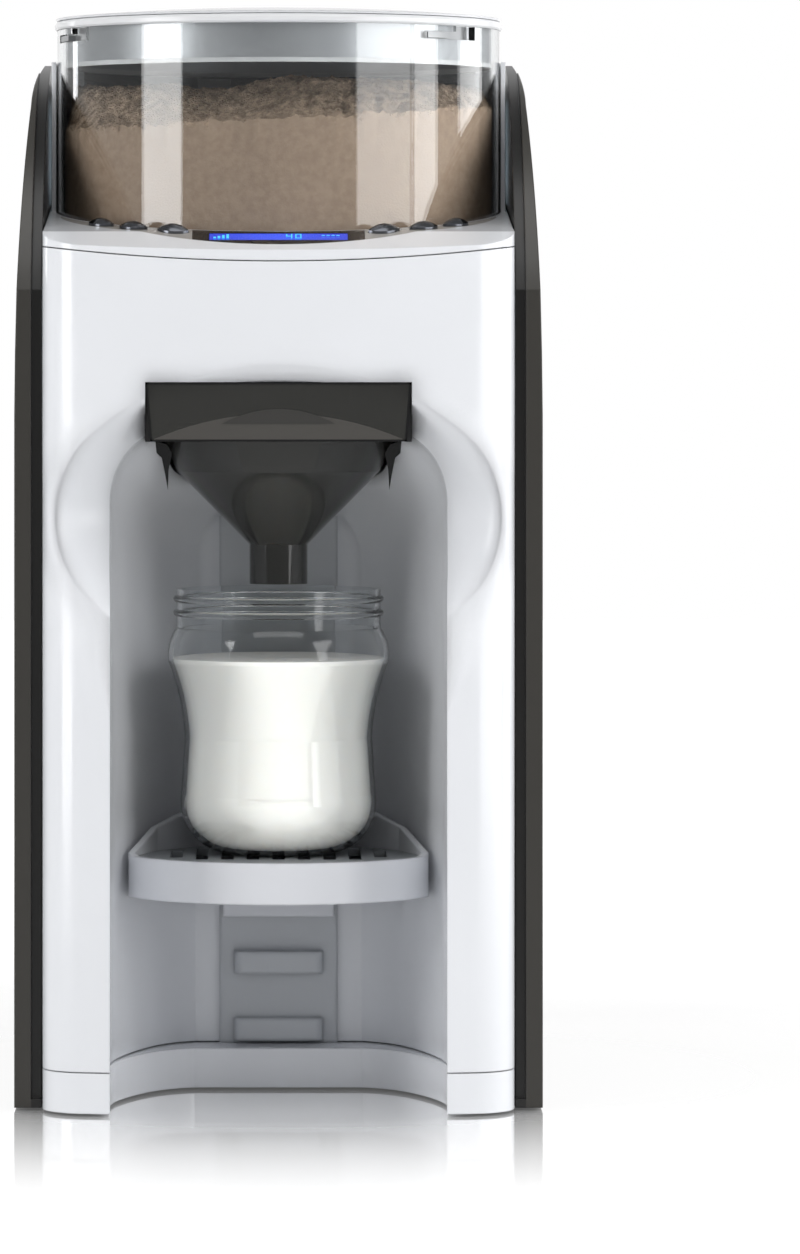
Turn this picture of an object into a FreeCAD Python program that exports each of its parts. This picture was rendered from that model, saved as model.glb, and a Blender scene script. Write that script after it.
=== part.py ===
import FreeCAD, Part
import math
import os
import re
import Sketcher

# A countertop baby formula maker: a white moulded body with a bottle bay scooped out of its
# front, a lift-out powder hopper on top, a water tank behind it, a slide-out mixing funnel over
# the bottle, and a bottle stand that plugs onto a rail. +Z is up and the front faces -Y. The
# origin is on the table, under the middle of the whole machine. Millimetres.

SIZES = {
    # whole machine
    "half_width": 82.0,
    "front_y": -145.0,
    "rear_y": 145.0,
    "split_y": -20.0,
    "wall": 3.0,
    "seat_gap": 0.2,
    "small_gap": 0.3,
    "seam_gap": 0.35,
    # plan of the bowed front
    "brow_half": 66.0,
    "brow_drop": 5.5,
    "cheek_x": 78.0,
    "cheek_drop": 12.0,
    "side_start": 26.0,
    "rear_corner": 30.0,
    # plinth and feet
    "foot_height": 1.0,
    "foot_radius": 6.5,
    "foot_recess": 1.0,
    "foot_x": 69.0,
    "foot_front_y": -111.0,
    "foot_rear_y": 116.0,
    "plinth_top": 15.0,
    "plinth_bay_y": -55.0,
    "screw_radius": 2.0,
    "screw_head": 3.8,
    "screw_length": 16.0,
    "boss_radius": 5.0,
    "boss_top": 34.0,
    "boss_x": 69.0,
    "boss_front_y": -92.0,
    "boss_rear_y": 94.0,
    # bottle bay
    "bay_front_half": 59.0,
    "bay_back_half": 30.0,
    "bay_start_y": -118.0,
    "bay_mouth": 33.0,
    "bay_back_y": -32.0,
    "bay_front_top": 236.0,
    "bay_back_top": 211.0,
    "bay_front_corner": 24.0,
    "bay_back_corner": 22.0,
    "bay_squareness": 1.65,
    # shallow dish that runs from the front into the top of the bay
    "dish_z": 207.0,
    "dish_start": 7.0,
    "dish_depth": 38.0,
    "dish_half": 90.0,
    "dish_end_half": 57.5,
    "dish_height": 62.0,
    "dish_end_height": 24.0,
    # seam between the front shell and the bezel above it
    "seam_front": 296.0,
    "seam_rise": 6.5,
    "seam_end_y": -102.0,
    # powder hopper
    "hopper_y": -41.5,
    "hopper_radius": 79.5,
    "hopper_wall": 2.5,
    "hopper_bottom": 300.3,
    "hopper_top": 379.2,
    "well_gap": 0.5,
    "base_thickness": 6.0,
    "outlet_reach": 38.0,
    "outlet_radius": 8.0,
    # sloping deck round the hopper
    "deck_height": 315.1,
    "deck_tilt": 6.2,
    "deck_slope": 10.0,
    "deck_bend": 81.0,
    "deck_wall": 5.0,
    "deck_reach": 150.0,
    "panel_depth": 2.2,
    "lune_radius": 77.7,
    "lune_shift": 19.5,
    "lune_gap": 1.7,
    "board_inset": 3.8,
    # display and buttons
    "screen_half": 24.0,
    "screen_inner": 83.6,
    "screen_outer": 91.8,
    "screen_thickness": 1.4,
    "button_first": 24.7,
    "button_pitch": 11.0,
    "button_half": 6.0,
    "button_rise": 3.7,
    "button_proud": 0.8,
    "button_depth": 6.4,
    "button_gap": 0.35,
    "button_travel": 0.8,
    # surround behind the hopper
    "surround_wall": 1.6,
    "riser_top": 330.0,
    "ear_top": 368.0,
    "ear_front": 5.0,
    "ear_sweep": 27.0,
    # dark side panels
    "panel_inner": 82.6,
    "panel_outer": 92.1,
    "panel_neck": 88.2,
    "panel_tip": 83.4,
    "panel_bottom": 1.0,
    "panel_front_y": -120.0,
    "panel_rear_y": 132.0,
    "panel_top": 371.0,
    "panel_wall": 2.6,
    "panel_waist": 220.0,
    "panel_band": 5.9,
    "panel_step": 3.0,
    "panel_shoulder": 300.0,
    "panel_neck_top": 352.0,
    # lid of the hopper
    "lid_radius": 80.4,
    "flange_height": 3.0,
    "skirt_gap": 0.4,
    "skirt_wall": 2.2,
    "skirt_depth": 12.0,
    "lid_opening": 69.0,
    "cap_rise": 4.5,
    "cap_wall": 2.0,
    "lug_first": 45.5,
    "lug_width": 8.0,
    "lug_height": 2.0,
    "lug_turn": 11.0,
    "lug_drop": 4.4,
    "seal_height": 1.6,
    # stirring drive
    "shaft_radius": 4.0,
    "dog_half": 6.0,
    "gearbox_top": 294.0,
    "gearbox_height": 20.0,
    "gearbox_half": 24.0,
    "motor_radius": 14.0,
    "motor_height": 40.0,
    "motor_offset": 49.0,
    "portion_radius": 52.0,
    "portion_height": 5.4,
    "stir_reach": 70.0,
    "stir_height": 5.0,
    "hub_radius": 10.0,
    "hub_height": 14.0,
    # powder
    "powder_top": 352.0,
    "powder_crown": 360.0,
    "sweep_gap": 1.5,
    "leveller_half": 6.0,
    "leveller_x": -24.0,
    "leveller_wall": 4.0,
    # funnel and its carrier
    "funnel_y": -74.0,
    "funnel_wall": 2.0,
    "spout_radius": 10.3,
    "spout_bottom": 182.0,
    "spout_top": 196.0,
    "cone_radius": 36.0,
    "cone_top": 222.0,
    "bowl_radius": 42.0,
    "bowl_bottom": 233.0,
    "bowl_top": 240.0,
    "plate_half": 45.6,
    "plate_foot_half": 44.0,
    "plate_bottom": 233.8,
    "plate_top": 253.5,
    "plate_y": -140.4,
    "plate_thickness": 2.4,
    "flange_half": 44.2,
    "window_gap": 0.5,
    "tunnel_half": 46.4,
    "tunnel_roof": 257.0,
    "tunnel_floor": 233.0,
    "sweep_room": 1.2,
    "carrier_wall": 1.6,
    # bottle stand and rail
    "stand_half": 53.0,
    "stand_front_y": -122.0,
    "stand_side_y": -85.0,
    "stand_waist": 45.5,
    "stand_waist_y": -60.0,
    "stand_back_half": 29.0,
    "stand_back_y": -35.2,
    "stand_bottom": 71.7,
    "stand_top": 86.2,
    "stand_back_top": 103.0,
    "stand_wall": 2.4,
    "stand_floor": 3.0,
    "grate_thickness": 2.6,
    "rail_half": 21.3,
    "rail_thickness": 2.3,
    "rail_top": 205.0,
    "tab_half": 15.9,
    "tab_height": 8.0,
    "tab_reach": 5.6,
    "tab_first": 20.2,
    "tab_pitch": 24.0,
    # bottle
    "bottle_bottom": 86.5,
    "bottle_height": 93.7,
    "bottle_wall": 1.8,
    "mouth_radius": 36.3,
    "bead": 1.1,
    "shoulder_radius": 39.2,
    "waist_radius": 33.3,
    "belly_radius": 34.6,
    "milk_level": 69.3,
    # water tank
    "tank_half": 78.0,
    "tank_front_y": 45.0,
    "tank_back_y": 136.0,
    "tank_floor": 215.0,
    "tank_top": 360.0,
    "tank_wall": 2.5,
    "tank_corner": 18.0,
    "tank_lid_height": 3.4,
    "valve_y": 92.0,
    "valve_radius": 6.0,
    "valve_drop": 9.0,
    "socket_radius": 12.0,
    "socket_depth": 19.0,
    "hinge_y": 140.5,
    "hinge_rise": 1.6,
    "knuckle_radius": 2.8,
    "pin_radius": 1.2,
    "running_gap": 0.05,
    "knuckle_x": 38.0,
    "knuckle_length": 16.0,
    "ear_length": 4.0,
    # works inside
    "chassis_y": -14.0,
    "chassis_thickness": 3.0,
    "chassis_half": 70.0,
    "shelf_z": 120.0,
    "shelf_back_y": 132.0,
    "heater_x": 44.0,
    "heater_y": 46.0,
    "heater_radius": 20.0,
    "heater_bottom": 24.0,
    "heater_top": 102.0,
    "pump_x": -38.0,
    "pump_y": 46.0,
    "pump_radius": 18.0,
    "pump_length": 62.0,
    "pump_z": 44.0,
    "hose_radius": 4.0,
    "hose_bend": 10.0,
    "spigot_radius": 5.0,
    "nozzle_x": 20.0,
    "nozzle_y": -84.0,
    "nozzle_bottom": 246.0,
    "chute_radius": 9.0,
    "chute_bottom": 246.0,
    "vent_first_x": -50.0,
    "vent_pitch": 6.0,
    "vent_half_width": 1.2,
    "vent_bottom": 44.0,
    "vent_top": 74.0,
    "inlet_x": 30.0,
    "inlet_z": 42.0,
    "inlet_half_width": 13.5,
    "inlet_half_height": 10.0,
    "inlet_depth": 18.0,
    "board_thickness": 1.6,
}

doc = FreeCAD.newDocument("formula_maker")
sheet = doc.addObject("Spreadsheet::Sheet", "Sizes")
for row, (alias, number) in enumerate(SIZES.items(), start=1):
    sheet.set(f"A{row}", alias)
    sheet.set(f"B{row}", str(number))
    sheet.setAlias(f"B{row}", alias)
doc.recompute()

nodes = {}
ARC = "arc through"


def tied(text):
    """The expression with each size name pointing at its cell of the sheet."""
    return re.sub(r"[a-z_]+", lambda word: f"Sizes.{word[0]}" if word[0] in SIZES else word[0], str(text))


def size(text):
    """The value of an expression in the sheet's sizes."""
    return float(sheet.evalExpression(str(text)))


def bind(thing, **expressions):
    """Drive properties of an object from the sheet."""
    for name, text in expressions.items():
        thing.setExpression(name, tied(text))
    return thing


def move(thing, x="0", y="0", z="0"):
    for axis, text in zip("xyz", (x, y, z)):
        thing.setExpression(f".Placement.Base.{axis}", tied(text))
    return thing


def turn(thing, axis, angle):
    """Turn an object about a row axis through its own origin, by a driven angle."""
    for name, part in zip("xyz", axis):
        thing.setExpression(f".Placement.Rotation.Axis.{name}", str(part))
    thing.setExpression(".Placement.Rotation.Angle", tied(angle))
    return thing


def node(thing, label):
    """Keep an object as the piece of that name."""
    thing.Label = label
    nodes[label] = thing
    return thing


# ---------------------------------------------------------------- primitives and booleans

def box(name, x, y, z):
    """A block between a low and a high face along each axis."""
    block = doc.addObject("Part::Box", name)
    bind(block, Length=f"({x[1]}) - ({x[0]})", Width=f"({y[1]}) - ({y[0]})", Height=f"({z[1]}) - ({z[0]})")
    return move(block, x[0], y[0], z[0])


def rod(name, radius, low, high, x="0", y="0"):
    """An upright cylinder between two heights."""
    cylinder = doc.addObject("Part::Cylinder", name)
    bind(cylinder, Radius=radius, Height=f"({high}) - ({low})")
    return move(cylinder, x, y, low)


def bar(name, radius, low, high, y, z):
    """A cylinder along X between two places."""
    cylinder = doc.addObject("Part::Cylinder", name)
    bind(cylinder, Radius=radius, Height=f"({high}) - ({low})")
    turn(cylinder, (0, 1, 0), "90")
    return move(cylinder, low, y, z)


def spike(name, radius, low, high, x, z):
    """A cylinder along +Y between two places."""
    cylinder = doc.addObject("Part::Cylinder", name)
    bind(cylinder, Radius=radius, Height=f"({high}) - ({low})")
    turn(cylinder, (1, 0, 0), "-90")
    return move(cylinder, x, low, z)


def taper(name, low_radius, high_radius, low, high, x="0", y="0"):
    cone = doc.addObject("Part::Cone", name)
    bind(cone, Radius1=low_radius, Radius2=high_radius, Height=f"({high}) - ({low})")
    return move(cone, x, y, low)


def fuse(name, *shapes):
    joined = doc.addObject("Part::MultiFuse", name)
    joined.Shapes = list(shapes)
    joined.Refine = True
    return joined


def cut(name, base, *tools):
    """The base less every tool."""
    result = doc.addObject("Part::Cut", name)
    result.Base = base
    result.Tool = tools[0] if len(tools) == 1 else fuse(f"{name}_tools", *tools)
    result.Refine = True
    return result


def common(name, *shapes):
    overlap = doc.addObject("Part::MultiCommon", name)
    overlap.Shapes = list(shapes)
    overlap.Refine = True
    return overlap


def tube(name, outer, inner, low, high, x="0", y="0"):
    return cut(
        name,
        rod(f"{name}_outside", outer, low, high, x, y),
        rod(f"{name}_bore", inner, f"{low} - 1", f"{high} + 1", x, y),
    )


def sector(name, inner, outer, low, high, start, sweep):
    """A stretch of a ring about the hopper's axis; start counts from the front towards +X."""
    wedge = doc.addObject("Part::Cylinder", f"{name}_wedge")
    bind(wedge, Radius=outer, Height=f"({high}) - ({low})", Angle=sweep)
    turn(wedge, (0, 0, 1), f"-90 + ({start})")
    move(wedge, "0", "hopper_y", low)
    return cut(name, wedge, rod(f"{name}_core", inner, f"{low} - 1", f"{high} + 1", "0", "hopper_y"))


# ---------------------------------------------------------------- bodies and sketches

def body(name):
    return doc.addObject("PartDesign::Body", name)


def outline(owner, plane, name, points, shift="0"):
    """A closed sketch through points, each pinned to the sheet.

    A point that starts with ARC is one that the arc between its neighbours passes through.
    """
    sketch = owner.newObject("Sketcher::SketchObject", name)
    base = [feature for feature in owner.Origin.OriginFeatures if feature.Role == plane][0]
    sketch.AttachmentSupport = [(base, "")]
    sketch.MapMode = "FlatFace"
    sketch.setExpression(".AttachmentOffset.Base.z", tied(shift))

    def pin(geometry, end, x, y):
        for kind, text in (("DistanceX", x), ("DistanceY", y)):
            index = sketch.addConstraint(Sketcher.Constraint(kind, -1, 1, geometry, end, size(text)))
            label = f"pin{index}"
            sketch.renameConstraint(index, label)
            sketch.setExpression(f"Constraints.{label}", tied(text))

    def spot(point):
        return FreeCAD.Vector(size(point[-2]), size(point[-1]), 0)

    corners = [index for index, point in enumerate(points) if point[0] != ARC]
    for order, here in enumerate(corners):
        there = corners[(order + 1) % len(corners)]
        between = points[(here + 1) % len(points)]
        if between[0] == ARC:
            start, middle, end = spot(points[here]), spot(between), spot(points[there])
            leftward = (middle - start).cross(end - middle).z > 0
            ends = (start, end) if leftward else (end, start)
            edge = sketch.addGeometry(Part.ArcOfCircle(ends[0], middle, ends[1]))
            pin(edge, 1 if leftward else 2, *points[here])
            pin(edge, 2 if leftward else 1, *points[there])
            guide = sketch.addGeometry(Part.Point(spot(between)), True)
            pin(guide, 1, between[1], between[2])
            sketch.addConstraint(Sketcher.Constraint("PointOnObject", guide, 1, edge))
        else:
            edge = sketch.addGeometry(Part.LineSegment(spot(points[here]), spot(points[there])))
            pin(edge, 1, *points[here])
            pin(edge, 2, *points[there])
    return sketch


def pad(owner, sketch, length, both_ways=False):
    feature = owner.newObject("PartDesign::Pad", f"{sketch.Name}_pad")
    feature.Profile = sketch
    feature.Midplane = both_ways
    return bind(feature, Length=length)


def revolve(name, points):
    """A body turned about Z from a half section in the XZ plane."""
    owner = body(name)
    sketch = outline(owner, "XZ_Plane", f"{name}_section", points)
    feature = owner.newObject("PartDesign::Revolution", f"{name}_turned")
    feature.Profile = sketch
    feature.ReferenceAxis = (sketch, ["V_Axis"])
    feature.Angle = 360.0
    return owner


def round_edges(owner, feature, radius, wanted):
    """Round the edges of a feature that the test picks out."""
    doc.recompute()
    names = [f"Edge{index}" for index, edge in enumerate(feature.Shape.Edges, start=1) if wanted(edge)]
    rounding = owner.newObject("PartDesign::Fillet", f"{feature.Name}_round")
    rounding.Base = (feature, names)
    return bind(rounding, Radius=radius)


def upright(edge):
    low, high = edge.BoundBox.ZMin, edge.BoundBox.ZMax
    return high - low > 1 and edge.BoundBox.XLength < 0.01 and edge.BoundBox.YLength < 0.01


# ---------------------------------------------------------------- shared forms

def front_plan(inset):
    """The bowed front from the left side round to the right side, moved in by inset."""
    inset = f"({inset})"
    side = f"half_width - {inset}"
    return [
        (f"-({side})", "front_y + side_start"),
        (ARC, f"-cheek_x + 0.7 * {inset}", f"front_y + cheek_drop + 0.7 * {inset}"),
        ("-brow_half", f"front_y + brow_drop + {inset}"),
        (ARC, "0", f"front_y + {inset}"),
        ("brow_half", f"front_y + brow_drop + {inset}"),
        (ARC, f"cheek_x - 0.7 * {inset}", f"front_y + cheek_drop + 0.7 * {inset}"),
        (side, "front_y + side_start"),
    ]


def front_block(name, inset, back, low, high):
    """A prism on the bowed plan with a straight back."""
    owner = body(name)
    side = f"half_width - {inset}"
    points = front_plan(inset) + [(side, back), (f"-({side})", back)]
    pad(owner, outline(owner, "XY_Plane", f"{name}_plan", points, low), f"({high}) - ({low})")
    return owner


def whole_block(name, inset, low, high):
    """A prism on the machine's whole plan, with round rear corners."""
    owner = body(name)
    side = f"half_width - {inset}"
    back = f"rear_y - {inset}"
    bulge = "rear_corner * (1 - sqrt(0.5))"
    points = front_plan(inset) + [
        (side, f"{back} - rear_corner"),
        (ARC, f"{side} - {bulge}", f"{back} - {bulge}"),
        (f"{side} - rear_corner", back),
        (f"-({side} - rear_corner)", back),
        (ARC, f"-({side} - {bulge})", f"{back} - {bulge}"),
        (f"-({side})", f"{back} - rear_corner"),
    ]
    pad(owner, outline(owner, "XY_Plane", f"{name}_plan", points, low), f"({high}) - ({low})")
    return owner


def arch(half, top, corner, floor):
    """A flat-topped arch with round shoulders, standing below the floor line."""
    bulge = f"({corner}) * (1 - sqrt(0.5))"
    return [
        (f"-({half})", floor),
        (half, floor),
        (half, f"{top} - ({corner})"),
        (ARC, f"{half} - {bulge}", f"{top} - {bulge}"),
        (f"{half} - ({corner})", top),
        (f"-({half}) + ({corner})", top),
        (ARC, f"-({half}) + {bulge}", f"{top} - {bulge}"),
        (f"-({half})", f"{top} - ({corner})"),
    ]


BAY_STEPS = (0.0, 0.4, 0.7, 0.9, 1.0)


def bay_form(name, grow, back="bay_back_y"):
    """The space of the bottle bay, lofted through arches that shrink towards the back wall."""
    owner = body(name)
    mouth = arch(f"(bay_front_half + {grow})", f"(bay_front_top + {grow})", f"(bay_front_corner + {grow})",
                 "-1")
    sketches = [outline(owner, "XZ_Plane", f"{name}_mouth", mouth, "-(bay_start_y - bay_mouth)")]
    for order, step in enumerate(BAY_STEPS):
        fade = f"pow(1 - pow({step}; bay_squareness); 1 / bay_squareness)" if step < 1 else "0"
        half = f"(bay_back_half + (bay_front_half - bay_back_half) * {fade} + {grow})"
        top = f"(bay_front_top + (bay_back_top - bay_front_top) * {step} + {grow})"
        corner = f"(bay_front_corner + (bay_back_corner - bay_front_corner) * {step} + {grow})"
        depth = f"bay_start_y + ({back} + {grow} - bay_start_y) * {step}"
        sketches.append(
            outline(owner, "XZ_Plane", f"{name}_arch{order}", arch(half, top, corner, "-1"), f"-({depth})")
        )
    loft = owner.newObject("PartDesign::AdditiveLoft", f"{name}_loft")
    loft.Profile = sketches[0]
    loft.Sections = sketches[1:]
    return owner


DISH_STEPS = (0.0, 0.2, 0.4, 0.6, 0.8, 1.0)


def dish_form(name, grow):
    """The space of the dish, lofted through ellipses that shrink as they go in."""
    rims = []
    for order, step in enumerate(DISH_STEPS):
        rim = doc.addObject("Part::Ellipse", f"{name}_rim{order}")
        bind(rim,
             MajorRadius=f"dish_end_half + (dish_half - dish_end_half) * (1 - pow({step}; 1.3)) + {grow}",
             MinorRadius=f"dish_end_height + (dish_height - dish_end_height) * pow(1 - {step}; 1.3) + {grow}")
        turn(rim, (1, 0, 0), "90")
        move(rim, "0", f"front_y - dish_start + dish_depth * {step} + {grow}", "dish_z")
        rims.append(rim)
    loft = doc.addObject("Part::Loft", name)
    loft.Sections = rims
    loft.Solid = True
    return loft


def seam_side(name, top, drop):
    """A block as wide as the machine, under or over the seam, which rises towards the sides at the front."""
    far = "500" if top else "-10"
    edge = "half_width + 10"
    low, high = (f"seam_front - {drop}", far) if top else (far, f"seam_front - {drop}")
    back = box(f"{name}_back", (f"-({edge})", edge), ("seam_end_y", "tank_front_y - 2"), (low, high))
    owner = body(f"{name}_front")
    points = [
        (f"-({edge})", far),
        (f"-({edge})", f"seam_front + seam_rise - {drop}"),
        (ARC, "0", f"seam_front - {drop}"),
        (edge, f"seam_front + seam_rise - {drop}"),
        (edge, far),
    ]
    pad(owner, outline(owner, "XZ_Plane", f"{name}_line", points, "-seam_end_y"), "seam_end_y - front_y + 10")
    return fuse(name, back, owner)


def deck_form(name, drop):
    """Everything under the sloping deck, lowered by drop, in the deck's own frame."""
    owner = body(name)
    fall = "(deck_reach - deck_bend) * tan(deck_slope)"
    points = [
        ("-deck_reach", "-80"),
        ("deck_reach", "-80"),
        ("deck_reach", f"0 - ({drop})"),
        ("-deck_bend", f"0 - ({drop})"),
        ("-deck_reach", f"-({fall}) - ({drop})"),
    ]
    pad(owner, outline(owner, "YZ_Plane", f"{name}_line", points), "2 * deck_reach", both_ways=True)
    return owner


def tilt(thing):
    """Lay a form made about the origin onto the tilted deck, on the hopper's axis."""
    turn(thing, (1, 0, 0), "deck_tilt")
    return move(thing, "0", "hopper_y", "deck_height")


def lune(name, shrink, low, high):
    """The crescent of the control panel, in the deck's own frame."""
    return cut(
        name,
        rod(f"{name}_outer", f"lune_radius - {shrink}", low, high, "0", "-lune_shift"),
        rod(f"{name}_inner", f"hopper_radius + lune_gap + {shrink}", f"{low} - 1", f"{high} + 1"),
    )


def button_places():
    """Angle from the front and radius from the hopper's axis of each button."""
    for side in (-1, 1):
        for count in range(3):
            angle = f"(button_first + {count} * button_pitch)"
            chord = f"sqrt(pow(lune_radius; 2) - pow(lune_shift * sin({angle}); 2))"
            rim = f"(lune_shift * cos({angle}) + {chord})"
            yield f"({side} * {angle})", f"(({rim} + hopper_radius + lune_gap) / 2)"


def lens(name, angle, radius, grow, low, high):
    """A lens-shaped button outline, longer along the crescent, in the deck's own frame."""
    curve = "((pow(button_half; 2) + pow(button_rise; 2)) / (2 * button_rise))"
    sides = []
    for which in (-1, 1):
        reach = f"({radius} + {which} * ({curve} - button_rise))"
        x = f"{reach} * sin({angle})"
        y = f"-{reach} * cos({angle})"
        sides.append(rod(f"{name}_side{which + 1}", f"{curve} + {grow}", low, high, x, y))
    return common(name, *sides)


def tunnel_form(name, half, start, low, high):
    """The space the funnel slides in: straight sides and a half-round back."""
    straight = box(f"{name}_straight", (f"-({half})", half), (start, "funnel_y"), (low, high))
    return fuse(name, straight, rod(f"{name}_back", half, low, high, "0", "funnel_y"))


def funnel_sweep(name):
    """The room the funnel's bowl sweeps under the tunnel on its way out to the front."""
    half = [
        ("spout_radius + sweep_room", "spout_top"),
        ("cone_radius + sweep_room", "cone_top"),
        ("bowl_radius + sweep_room", "bowl_bottom"),
        ("bowl_radius + sweep_room", "bowl_top"),
    ]
    owner = body(f"{name}_way")
    points = half + [(f"-({x})", z) for x, z in reversed(half)]
    pad(owner, outline(owner, "XZ_Plane", f"{name}_line", points, "-funnel_y"), "funnel_y - front_y + 5")
    end = revolve(f"{name}_end", [("0", "spout_top")] + half + [("0", "bowl_top")])
    return fuse(name, owner, move(end, "0", "funnel_y", "0"))


# ---------------------------------------------------------------- casing

def rib_span(side):
    """Across the gap from a screw boss to the side wall it hangs from."""
    near, far = "boss_x + boss_radius - 1", "half_width - wall / 2"
    return (f"-({far})", f"-({near})") if side < 0 else (near, far)


bay = bay_form("bay", "0")
bay_skin = bay_form("bay_skin", "wall")
dish = dish_form("dish", "0")
dish_skin = dish_form("dish_skin", "wall")
below_seam = seam_side("below_seam", False, "0")
above_seam = seam_side("above_seam", True, "seam_gap")

front_core = front_block("front_core", "wall", "split_y + 1", "plinth_top - 1", "seam_front + seam_rise + 1")
front_inside = cut("front_inside", cut("front_behind_bay", front_core, bay_skin), dish_skin)
window = box("window", ("-plate_half - window_gap", "plate_half + window_gap"),
             ("front_y - 5", "plate_y + plate_thickness + 2"), ("tunnel_floor", "plate_top + window_gap"))
tunnel = tunnel_form("tunnel", "tunnel_half", "plate_y + plate_thickness + 1", "tunnel_floor", "tunnel_roof")
front_solid = front_block("front_solid", "0", "split_y", "plinth_top + seam_gap", "seam_front + seam_rise")
front_bosses = [
    rod(f"front_boss{side + 1}", "boss_radius", "plinth_top", "boss_top", f"{side} * boss_x", "boss_front_y")
    for side in (-1, 1)
]
front_ribs = [
    box(f"front_rib{side + 1}", rib_span(side), ("boss_front_y - 1.5", "boss_front_y + 1.5"),
        ("plinth_top + seam_gap", "boss_top - 4"))
    for side in (-1, 1)
]
front_pilots = [
    rod(f"front_pilot{side + 1}", "screw_radius", "plinth_top - 1",
        "foot_height + screw_length + 2", f"{side} * boss_x", "boss_front_y")
    for side in (-1, 1)
]
front_hollow = cut("front_hollow", front_solid, front_inside)
front_bossed = fuse("front_bossed", front_hollow, *front_bosses, *front_ribs)
front_scooped = cut("front_scooped", cut("front_bayed", front_bossed, bay), dish)
node(
    cut("front_shell", front_scooped, window, tunnel, funnel_sweep("sweep"), above_seam, *front_pilots),
    "front_shell",
)


VENT_COUNT = 10


def make_rear_shell():
    """The back of the casing, stepped down behind the hopper to carry the tank."""
    owner = body("rear_casing")
    side = "half_width"
    step_y = "tank_front_y - 2"
    points = [
        ("split_y", "plinth_top + seam_gap"),
        ("rear_y", "plinth_top + seam_gap"),
        ("rear_y", "tank_floor - seat_gap"),
        (step_y, "tank_floor - seat_gap"),
        (step_y, "seam_front"),
        ("split_y", "seam_front"),
    ]
    solid = pad(owner, outline(owner, "YZ_Plane", "rear_profile", points), f"2 * {side}", both_ways=True)
    corner = size("rear_y") - 0.5
    round_edges(owner, solid, "rear_corner", lambda edge: upright(edge) and edge.BoundBox.YMin > corner)
    inner = [
        ("split_y - 1", "plinth_top - 1"),
        ("rear_y - wall", "plinth_top - 1"),
        ("rear_y - wall", "tank_floor - seat_gap - wall"),
        (f"{step_y} - wall", "tank_floor - seat_gap - wall"),
        (f"{step_y} - wall", "seam_front + 1"),
        ("split_y - 1", "seam_front + 1"),
    ]
    core = body("rear_core")
    hollow_line = outline(core, "YZ_Plane", "rear_hollow", inner)
    hollow = pad(core, hollow_line, f"2 * ({side} - wall)", both_ways=True)
    limit = size("rear_y - wall") - 0.5
    round_edges(core, hollow, "rear_corner - wall", lambda edge: upright(edge) and edge.BoundBox.YMin > limit)
    socket_hole = rod("socket_hole", "socket_radius + seat_gap", "tank_floor - 8", "tank_floor + 8", "0",
                      "valve_y")
    inlet_hole = box("inlet_hole",
                     ("inlet_x - inlet_half_width - seat_gap", "inlet_x + inlet_half_width + seat_gap"),
                     ("rear_y - wall - 1", "rear_y + 1"),
                     ("inlet_z - inlet_half_height - seat_gap", "inlet_z + inlet_half_height + seat_gap"))
    vents = [
        box(f"vent{count}",
            (f"vent_first_x + {count} * vent_pitch - vent_half_width",
             f"vent_first_x + {count} * vent_pitch + vent_half_width"),
            ("rear_y - wall - 1", "rear_y + 1"), ("vent_bottom", "vent_top"))
        for count in range(VENT_COUNT)
    ]
    bosses = [
        rod(f"rear_boss{way + 1}", "boss_radius", "plinth_top", "boss_top", f"{way} * boss_x", "boss_rear_y")
        for way in (-1, 1)
    ]
    pilots = [
        rod(f"rear_pilot{way + 1}", "screw_radius", "plinth_top - 1", "foot_height + screw_length + 2",
            f"{way} * boss_x", "boss_rear_y")
        for way in (-1, 1)
    ]
    ribs = [
        box(f"rear_rib{way + 1}", rib_span(way), ("boss_rear_y - 1.5", "boss_rear_y + 1.5"),
            ("plinth_top + seam_gap", "boss_top - 4"))
        for way in (-1, 1)
    ]
    bossed = fuse("rear_bossed", cut("rear_hollowed", owner, core), *bosses, *ribs)
    node(cut("rear_shell", bossed, socket_hole, inlet_hole, *pilots, *vents), "rear_shell")


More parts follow.
